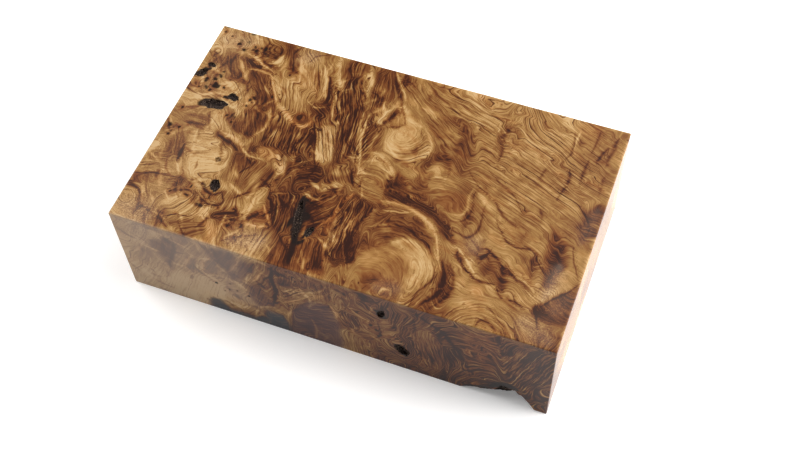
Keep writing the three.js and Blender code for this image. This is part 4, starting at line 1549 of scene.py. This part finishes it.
def wandered(points, to_right):
    """Places that wander a little from the points, for marks that aren't quite where they were drawn, and the
    same with feathered ends: each bundle of fibre, longer than it is wide, runs on past its neighbours."""
    wander = np.stack([noise_at(points, size=6, channel=1 + k) for k in range(3)], 1)
    ripple = np.stack([noise_at(points, size=1.7, channel=4 + k) for k in range(3)], 1)
    bent = points + 0.6 * wander + 0.25 * ripple
    bundle_stretch = 8
    along = ALONG_LEFT + to_right[:, None] * (ALONG_RIGHT - ALONG_LEFT)
    run = (points * along).sum(1)[:, None] * along
    bundles = points - run + run / bundle_stretch
    feather = 0.5 * noise_at(bundles, size=0.9, channel=12) + 0.4 * noise_at(bundles, size=2, channel=13)
    return bent, bent + feather[:, None] * along


def fold_rise(points, to_right, marks):
    """How far the layers are pushed out of their flat lie, less in the right part of the block."""
    rise = (1.8 - 1.0 * to_right) * noise_at(points, size=16, channel=8)
    rise += (1.0 - 0.8 * to_right) * noise_at(points, size=5, channel=11)
    for name, eyes in marks["eyes"].items():
        for eye in eyes:
            rise += eye_rise(points, FACES[name], eye)
    return rise + marked(points, joined(marks["facets"], marks["broad"]))[2]


def figure_fields(points):
    """The burl's figure at each point of the block, as named fields."""
    marks = figure_marks()
    facets, broad, thin = marks["facets"], marks["broad"], marks["thin"]
    to_right = right_share(points)
    bent, feathered = wandered(points, to_right)
    # Painted shade and highlight: the folds are lit and shaded by how steeply they rise towards a fixed
    # light.
    step, to_light = 0.6, np.array([0.7, 0.1, 0.45])
    rise = fold_rise(bent, to_right, marks)
    fold_shade = (fold_rise(bent + step * to_light, to_right, marks) - rise) / step
    growth = points @ ACROSS_LEFT + to_right * (points @ (ACROSS_RIGHT - ACROSS_LEFT)) + rise
    grain = points @ ALONG_LEFT + to_right * (points @ (ALONG_RIGHT - ALONG_LEFT))
    for name in facets:
        for facet in facets[name]:
            if facet.rings or facet.turn is not None:
                facet_lie(bent, FACES[name], facet, growth, grain, to_right)

    # Thin strokes also shade the wood round them, faintly.
    halo_share = 0.35
    halos = {name: [s._replace(tone=halo_share * s.tone) for s in thin[name]] for name in thin}
    tone, glow, _ = marked(feathered, joined(facets, broad, halos, marks["flat"]))
    # The wood is a little cloudy.
    cloud = 0.15
    tone += cloud * noise_at(points, size=9, channel=9) + cloud * noise_at(points, size=3, channel=10)
    # Painted highlight: the arrises are painted paler, as where their rubbed edges catch the light.
    arris_highlight_tone, arris_highlight_width = 0.35, 0.7
    half = np.array([LENGTH, WIDTH, HEIGHT]) / 2
    to_arris = np.sort(half - abs(points - (0, 0, half[2])), axis=1)[:, 1]
    tone += arris_highlight_tone * np.exp(-((to_arris / arris_highlight_width) ** 2))
    # Dust with a painted sheen laid in with it, and stain, lie on the front face alone, and resin on the
    # ends.
    # The front is also darkened all over, a painted shade.
    stain_and_shade_depth, resin_depth, painted_front_shade = 0.6, 0.3, 0.2
    on_front = np.clip(1 - (points[:, 1] - FRONT) / stain_and_shade_depth, 0, 1)
    on_ends = np.clip(1 - (half[0] - abs(points[:, 0])) / resin_depth, 0, 1)
    # Painted shade: the whole front face is darkened.
    tone -= painted_front_shade * on_front
    # Growth lines and dark creases are fainter in the right part of the block.
    lines = 0.85 - 0.3 * to_right + marked(points, {"top": TOP_LINES, "front": FRONT_LINES})[0]
    dark_gap, dark_tone = thin_lines(bent, chosen(thin, lambda stroke: stroke.tone < 0))
    dark_tone *= 1 - 0.3 * to_right
    pale_gap, pale_tone = thin_lines(bent, chosen(thin, lambda stroke: stroke.tone > 0))
    fields = {
        "growth": growth,
        "grain": grain,
        "tone": np.tanh(tone),
        "fold_shade": np.tanh(0.7 * fold_shade),
        "glow": glow,
        "char": np.clip(marked(feathered, marks["char"])[0], 0, 1),
        "lines": np.clip(lines, 0, 1.4),
        "flecks_and_haze": np.clip(marked(bent, {"top": TOP_FLECKS_AND_HAZE})[0], 0, 1),
        "sealed": on_ends,
        "dark_gap": dark_gap,
        "dark_tone": dark_tone,
        "pale_gap": pale_gap,
        "pale_tone": pale_tone,
    }
    for name, stains in FRONT_STAINS.items():
        fields[name] = on_front * np.clip(marked(bent, {"front": stains})[0], 0, 1)
    return fields


def store_fields(mesh, fields):
    """Writes each field to the mesh, as an attribute of its points."""
    for name, values in fields.items():
        attribute = mesh.attributes.new(name, "FLOAT", "POINT")
        attribute.data.foreach_set("value", values.astype(np.float32))


# The wood's colours, by level from the darkest to the palest.
BURL_TONES = (
    (0.00, "#281008"),
    (0.12, "#421f0e"),
    (0.25, "#562d13"),
    (0.38, "#683e1d"),
    (0.50, "#77522a"),
    (0.62, "#876335"),
    (0.75, "#987446"),
    (0.88, "#a68455"),
    (1.00, "#ae9065"),
)


# The fields that the wood is coloured by.
BURL_FIELDS = (
    "growth", "grain", "tone", "fold_shade", "glow", "char", "lines", "flecks_and_haze", "dust_and_sheen", "plum", "slate", "sealed",
)


def streaks(tree, field, along, across, detail):
    """Noise from -0.5 to 0.5, drawn out along the grain; its sizes are in millimetres."""
    x = add(tree, MATH, {0: field["grain"], 1: along}, "DIVIDE")
    y = add(tree, MATH, {0: field["growth"], 1: across}, "DIVIDE")
    drawn = add(tree, "ShaderNodeCombineXYZ", {"X": x, "Y": y})
    texture = add(tree, NOISE, {"Vector": drawn, "Scale": 1.0, "Detail": detail}, out="Fac")
    return add(tree, MATH, {0: texture, 1: 0.5}, "SUBTRACT")


def growth_lines(tree, field, ring_spacing):
    """Growth lines that darken slowly and stop short, and closer, fainter ones between them."""
    waver = streaks(tree, field, 5, 5, 2.0)
    layer = add(tree, MATH, {0: field["growth"], 1: ring_spacing / MM}, "DIVIDE")
    layer = add(tree, MATH, {0: waver, 1: 0.9, 2: layer}, "MULTIPLY_ADD")
    ring = add(tree, MATH, {0: layer}, "FRACT")
    ring = add(tree, MATH, {0: ring, 1: 5.0}, "POWER")
    number = add(tree, MATH, {0: layer}, "FLOOR")
    strength = add(tree, "ShaderNodeTexWhiteNoise", {"W": number}, out="Value", noise_dimensions="1D")
    fade = streaks(tree, field, 20, 3, 2.0)
    fade = add(tree, MATH, {0: fade, 1: 2.2, 2: 0.6}, "MULTIPLY_ADD", use_clamp=True)
    line = add(tree, MATH, {0: ring, 1: strength}, "MULTIPLY")
    line = add(tree, MATH, {0: line, 1: fade}, "MULTIPLY")
    line = add(tree, MATH, {0: line, 1: field["lines"]}, "MULTIPLY")
    close = add(tree, MATH, {0: layer, 1: 3.3}, "MULTIPLY")
    close = add(tree, MATH, {0: close}, "FRACT")
    close = add(tree, MATH, {0: close, 1: field["lines"]}, "MULTIPLY")
    return line, close


def creases(tree, kind):
    """Thin lines, dark or pale, where one fold of fibre meets the next."""
    gap = add(tree, "ShaderNodeAttribute", out="Fac", attribute_name=f"{kind}_gap")
    strength = add(tree, "ShaderNodeAttribute", out="Fac", attribute_name=f"{kind}_tone")
    fall = add(tree, MATH, {0: gap, 1: gap}, "MULTIPLY")
    fall = add(tree, MATH, {0: fall, 1: -1.0}, "MULTIPLY")
    fall = add(tree, MATH, {0: fall}, "EXPONENT")
    return add(tree, MATH, {0: fall, 1: strength}, "MULTIPLY")


def burl_level(tree, field, ring_spacing):
    """How pale the wood is, from 0 to 1, summed from all its patterns, and its fibre, which can be felt."""
    place = add(tree, "ShaderNodeTexCoord", out="Object")
    fibre = streaks(tree, field, 7, 0.5, 2.0)
    bands = streaks(tree, field, 14, 2.2, 4.0)
    flame = streaks(tree, field, 2, 9, 3.0)
    line, close = growth_lines(tree, field, ring_spacing)
    dark_crease, pale_crease = creases(tree, "dark"), creases(tree, "pale")
    # Pores: short dark dashes along the grain.
    pores = streaks(tree, field, 1.6, 0.22, 1.0)
    pores = add(tree, MATH, {0: pores, 1: 7.0, 2: -0.9}, "MULTIPLY_ADD", use_clamp=True)
    # Cut ends of fibres, drawn at twice their real size so that they show, where the grey flecks and their
    # painted haze lie.
    speck_size = 0.4 * MM
    speck = add(tree, NOISE, {"Vector": place, "Scale": 1 / speck_size, "Detail": 1.0}, out="Fac")
    speck = add(tree, MATH, {0: speck, 1: 0.5}, "SUBTRACT")
    speck = add(tree, MATH, {0: speck, 1: field["flecks_and_haze"]}, "MULTIPLY")

    # Folds are streaked more strongly than the ground, and in dark ones the growth lines turn pale.
    depth = add(tree, MATH, {0: field["tone"]}, "ABSOLUTE")
    depth = add(tree, MATH, {0: depth, 1: 1.0, 2: 1.0}, "MULTIPLY_ADD")
    fibre = add(tree, MATH, {0: fibre, 1: depth}, "MULTIPLY")
    shown = add(tree, MATH, {0: field["lines"], 1: 0.7, 2: 0.4}, "MULTIPLY_ADD")
    fibre = add(tree, MATH, {0: fibre, 1: shown}, "MULTIPLY")
    bands = add(tree, MATH, {0: bands, 1: depth}, "MULTIPLY")
    turned = add(tree, MATH, {0: field["tone"], 1: 1.5, 2: 0.75}, "MULTIPLY_ADD")
    line = add(tree, MATH, {0: line, 1: turned}, "MULTIPLY")
    close = add(tree, MATH, {0: close, 1: turned}, "MULTIPLY")

    level = 0.62
    for pattern, weight in (
        (field["tone"], 0.71),
        # Painted shade and highlight of the folds.
        (field["fold_shade"], 0.14),
        (bands, 0.5),
        (flame, 0.2),
        (fibre, 0.9),
        (line, -1.4),
        (close, -0.25),
        (dark_crease, 0.7),
        (pale_crease, 0.65),
        (pores, -0.4),
        (speck, 1.3),
    ):
        level = add(tree, MATH, {0: pattern, 1: weight, 2: level}, "MULTIPLY_ADD")
    return level, fibre


def burl_colour(tree, field, level):
    """The wood's colour at its level, tinted with a painted golden sheen where it glows, grey with a painted
    haze where it is flecked, pale with dust and a painted sheen on the front, and tinted where it is stained
    or charred.
    """
    colour = add(tree, "ShaderNodeValToRGB", {"Fac": level}, out="Color")
    elements = colour.node.color_ramp.elements
    while len(elements) < len(BURL_TONES):
        elements.new(0.5)
    for element, (position, shade) in zip(elements, BURL_TONES):
        element.position = position
        element.color = (*linear(shade), 1)
    # Char ends sharply. The glow is a painted golden sheen, and dark wood hardly glows.
    char = add(tree, MATH, {0: field["char"], 1: 2.4, 2: -0.6}, "MULTIPLY_ADD", use_clamp=True)
    lit = add(tree, MATH, {0: level, 1: 0.25}, "ADD", use_clamp=True)
    glow = add(tree, MATH, {0: field["glow"], 1: lit}, "MULTIPLY")
    for pattern, weight, tint in (
        (glow, 0.4, "#a85a22"),
        # Grey flecks with a painted haze of reflected light.
        (field["flecks_and_haze"], 0.25, "#94806f"),
        # Dust with a painted sheen: a pale grey veil over the left of the front.
        (field["dust_and_sheen"], 0.5, "#988676"),
        (field["plum"], 0.6, "#4d3838"),
        (field["slate"], 0.8, "#33383c"),
        (char, 0.95, "#150c09"),
    ):
        share = add(tree, MATH, {0: pattern, 1: weight}, "MULTIPLY")
        inputs = {MIX_SHARE: share, MIX_FIRST: colour, MIX_SECOND: (*linear(tint), 1)}
        colour = add(tree, "ShaderNodeMix", inputs, out=MIX_RESULT, data_type="RGBA")
    return colour


def burl_material(ring_spacing):
    """Burl wood set hard with resin and sanded: a satin skin over its warm brown figure."""
    material = bpy.data.materials.new("stabilised burl, sanded")
    material.use_nodes = True
    tree = material.node_tree
    tree.nodes.clear()
    field = {name: add(tree, "ShaderNodeAttribute", out="Fac", attribute_name=name) for name in BURL_FIELDS}
    level, fibre = burl_level(tree, field, ring_spacing)
    colour = burl_colour(tree, field, level)
    bump = add(tree, "ShaderNodeBump", {"Strength": 0.15, "Distance": 0.05 * MM, "Height": fibre})
    # The ends are sealed with resin and shine more than the sanded faces.
    roughness = add(tree, MATH, {0: field["sealed"], 1: -0.2, 2: 0.42}, "MULTIPLY_ADD")
    skin = {"Base Color": colour, "Roughness": roughness, "Specular IOR Level": 0.15, "Normal": bump}
    shader = add(tree, "ShaderNodeBsdfPrincipled", skin)
    add(tree, "ShaderNodeOutputMaterial", {"Surface": shader})
    return material


def bark_material(colour):
    """Weathered bark: dark, rough and crumbly, with paler crumbs in it."""
    material = bpy.data.materials.new("burl bark, weathered")
    material.use_nodes = True
    tree = material.node_tree
    tree.nodes.clear()
    place = add(tree, "ShaderNodeTexCoord", out="Object")
    lump_size, crumb_size = 1.6 * MM, 0.35 * MM
    lumps = add(tree, NOISE, {"Vector": place, "Scale": 1 / lump_size, "Detail": 4.0}, out="Fac")
    crumbs = add(tree, NOISE, {"Vector": place, "Scale": 1 / crumb_size, "Detail": 2.0}, out="Fac")
    crumbs = add(tree, MATH, {0: crumbs, 1: 5.0, 2: -2.7}, "MULTIPLY_ADD", use_clamp=True)
    paler = [min(1, 2.5 * value) for value in colour]
    inputs = {MIX_SHARE: lumps, MIX_FIRST: (*colour, 1), MIX_SECOND: (*paler, 1)}
    shade = add(tree, "ShaderNodeMix", inputs, out=MIX_RESULT, data_type="RGBA")
    share = add(tree, MATH, {0: crumbs, 1: 0.6}, "MULTIPLY")
    inputs = {MIX_SHARE: share, MIX_FIRST: shade, MIX_SECOND: (*linear("#947a68"), 1)}
    shade = add(tree, "ShaderNodeMix", inputs, out=MIX_RESULT, data_type="RGBA")
    bump = add(tree, "ShaderNodeBump", {"Strength": 0.7, "Distance": 0.4 * MM, "Height": lumps})
    skin = {"Base Color": shade, "Roughness": 0.75, "Specular IOR Level": 0.2, "Normal": bump}
    shader = add(tree, "ShaderNodeBsdfPrincipled", skin)
    add(tree, "ShaderNodeOutputMaterial", {"Surface": shader})
    return material


# Edges of the mesh that bend more than this look sharp.
SHARP_ANGLE = math.radians(50)


class BURL_OT_block(bpy.types.Operator):
    """Saws the block, cuts its hollows and works out its figure"""

    bl_idname = "burl.block"
    bl_label = "Burl Block"

    def execute(self, context):
        settings = context.scene.burl_block
        wood = burl_material(settings.ring_spacing)
        bark = bark_material(settings.bark_colour)
        cells = block_cells(settings.grid_spacing)
        block = bpy.data.objects.new("burl_block_figured", cells)
        context.scene.collection.objects.link(block)
        tree, sockets = sawn_block_tree()
        saw = block.modifiers.new("Saw", "NODES")
        saw.node_group = tree
        saw[sockets["Size"]] = Vector((LENGTH, WIDTH, HEIGHT)) * MM
        saw[sockets["Grid Spacing"]] = settings.grid_spacing
        saw[sockets["Arris Radius"]] = settings.arris_radius
        saw[sockets["Arris Wear"]] = settings.arris_wear
        saw[sockets["Wood"]] = wood
        hollows = hollows_collection({"wood": wood, "bark": bark})
        cut = block.modifiers.new("Hollows", "BOOLEAN")
        cut.operand_type = "COLLECTION"
        cut.collection = hollows
        cut.solver = "MANIFOLD"
        cut.material_mode = "TRANSFER"
        evaluated = block.evaluated_get(context.evaluated_depsgraph_get())
        mesh = bpy.data.meshes.new_from_object(evaluated)
        if not mesh.polygons:
            raise RuntimeError("nothing was left of the block when its hollows were cut")
        mesh.name = "burl_block_figured"
        block.modifiers.clear()
        block.data = mesh
        for cutter in list(hollows.objects):
            bpy.data.objects.remove(cutter)
        bpy.data.collections.remove(hollows)
        points = np.empty(len(mesh.vertices) * 3)
        mesh.vertices.foreach_get("co", points)
        store_fields(mesh, figure_fields(points.reshape(-1, 3) / MM))
        mesh.shade_smooth()
        mesh.set_sharp_from_angle(angle=SHARP_ANGLE)
        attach(block, "root")
        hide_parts("burl_block")
        return {"FINISHED"}


# The floor reaches this far each way, and glows this much, so that the shadows on it are faint.
FLOOR_REACH = 3.0
FLOOR_GLOW = 0.15
# The lights, all turned to the block: their places and sizes in metres, and their power in watts.
SOFTBOXES = (
    ("right softbox", (0.55, 0.2, 0.66), 0.6, 5.4),
    ("left softbox", (-0.6, 0, 0.65), 0.6, 6.0),
    ("low right softbox", (0.85, 0.1, 0.17), 0.3, 8.0),
    ("back softbox", (0.35, 0.6, 0.75), 0.6, 6.3),
    ("left front softbox", (-0.3, -0.25, 0.2), 0.25, 0.3),
)
WORLD_STRENGTH = 0.1
# Where the camera stands, how it is turned, in degrees, and the width of its frame, in millimetres.
CAMERA_PLACE = (0.09326, -0.20202, 0.33807)
CAMERA_TURN = (34.139, 1.541, 20.59)
CAMERA_FRAME = 36


def floor_material(colour):
    """A plain pale studio floor."""
    material = bpy.data.materials.new("white studio floor")
    material.use_nodes = True
    inputs = material.node_tree.nodes["Principled BSDF"].inputs
    inputs["Base Color"].default_value = (*colour, 1)
    inputs["Roughness"].default_value = 0.9
    inputs["Specular IOR Level"].default_value = 0.0
    inputs["Emission Color"].default_value = (1, 1, 1, 1)
    inputs["Emission Strength"].default_value = FLOOR_GLOW
    return material


class BURL_OT_stage(bpy.types.Operator):
    """Lays the floor, hangs the lights and sets the camera"""

    bl_idname = "burl.stage"
    bl_label = "Stage"

    def execute(self, context):
        scene = context.scene
        settings = scene.burl_stage
        floor_mesh = bpy.data.meshes.new("floor")
        corners = [(x * FLOOR_REACH, y * FLOOR_REACH, 0) for x, y in ((-1, -1), (1, -1), (1, 1), (-1, 1))]
        floor_mesh.from_pydata(corners, [], [(0, 1, 2, 3)])
        floor_mesh.materials.append(floor_material(settings.floor_colour))
        floor = bpy.data.objects.new("floor", floor_mesh)
        scene.collection.objects.link(floor)

        for name, place, size, power in SOFTBOXES:
            lamp = bpy.data.lights.new(name, "AREA")
            lamp.size = size
            lamp.energy = power
            light = bpy.data.objects.new(name, lamp)
            light.location = place
            light.rotation_euler = (-Vector(place)).to_track_quat("-Z", "Y").to_euler()
            scene.collection.objects.link(light)

        world = bpy.data.worlds.new("studio")
        world.use_nodes = True
        background = world.node_tree.nodes["Background"]
        background.inputs["Color"].default_value = (1, 1, 1, 1)
        background.inputs["Strength"].default_value = WORLD_STRENGTH
        scene.world = world
        scene.view_settings.view_transform = "Standard"

        camera_data = bpy.data.cameras.new("camera")
        camera_data.lens = settings.lens
        camera_data.sensor_width = CAMERA_FRAME
        camera = bpy.data.objects.new("camera", camera_data)
        camera.location = CAMERA_PLACE
        camera.rotation_euler = [math.radians(angle) for angle in CAMERA_TURN]
        scene.collection.objects.link(camera)
        scene.camera = camera
        return {"FINISHED"}


class BURL_PT_sidebar(bpy.types.Panel):
    """Lists the block's sizes and colours, and the steps that build it"""

    bl_idname = "BURL_PT_sidebar"
    bl_label = "Burl Block"
    bl_space_type = "VIEW_3D"
    bl_region_type = "UI"
    bl_category = "Burl Block"

    def draw(self, context):
        for settings, operator in (
            (context.scene.burl_block, BURL_OT_block.bl_idname),
            (context.scene.burl_stage, BURL_OT_stage.bl_idname),
        ):
            column = self.layout.column()
            for name in settings.__annotations__:
                column.prop(settings, name)
            column.operator(operator)


CLASSES = (BurlBlockSettings, BurlStageSettings, BURL_OT_block, BURL_OT_stage, BURL_PT_sidebar)


def register():
    for cls in CLASSES:
        bpy.utils.register_class(cls)
    bpy.types.Scene.burl_block = bpy.props.PointerProperty(type=BurlBlockSettings)
    bpy.types.Scene.burl_stage = bpy.props.PointerProperty(type=BurlStageSettings)


def unregister():
    del bpy.types.Scene.burl_stage
    del bpy.types.Scene.burl_block
    for cls in reversed(CLASSES):
        bpy.utils.unregister_class(cls)


def main():
    register()
    bpy.ops.burl.block()
    bpy.ops.burl.stage()
    bpy.context.view_layer.update()


if __name__ == "__main__":
    main()
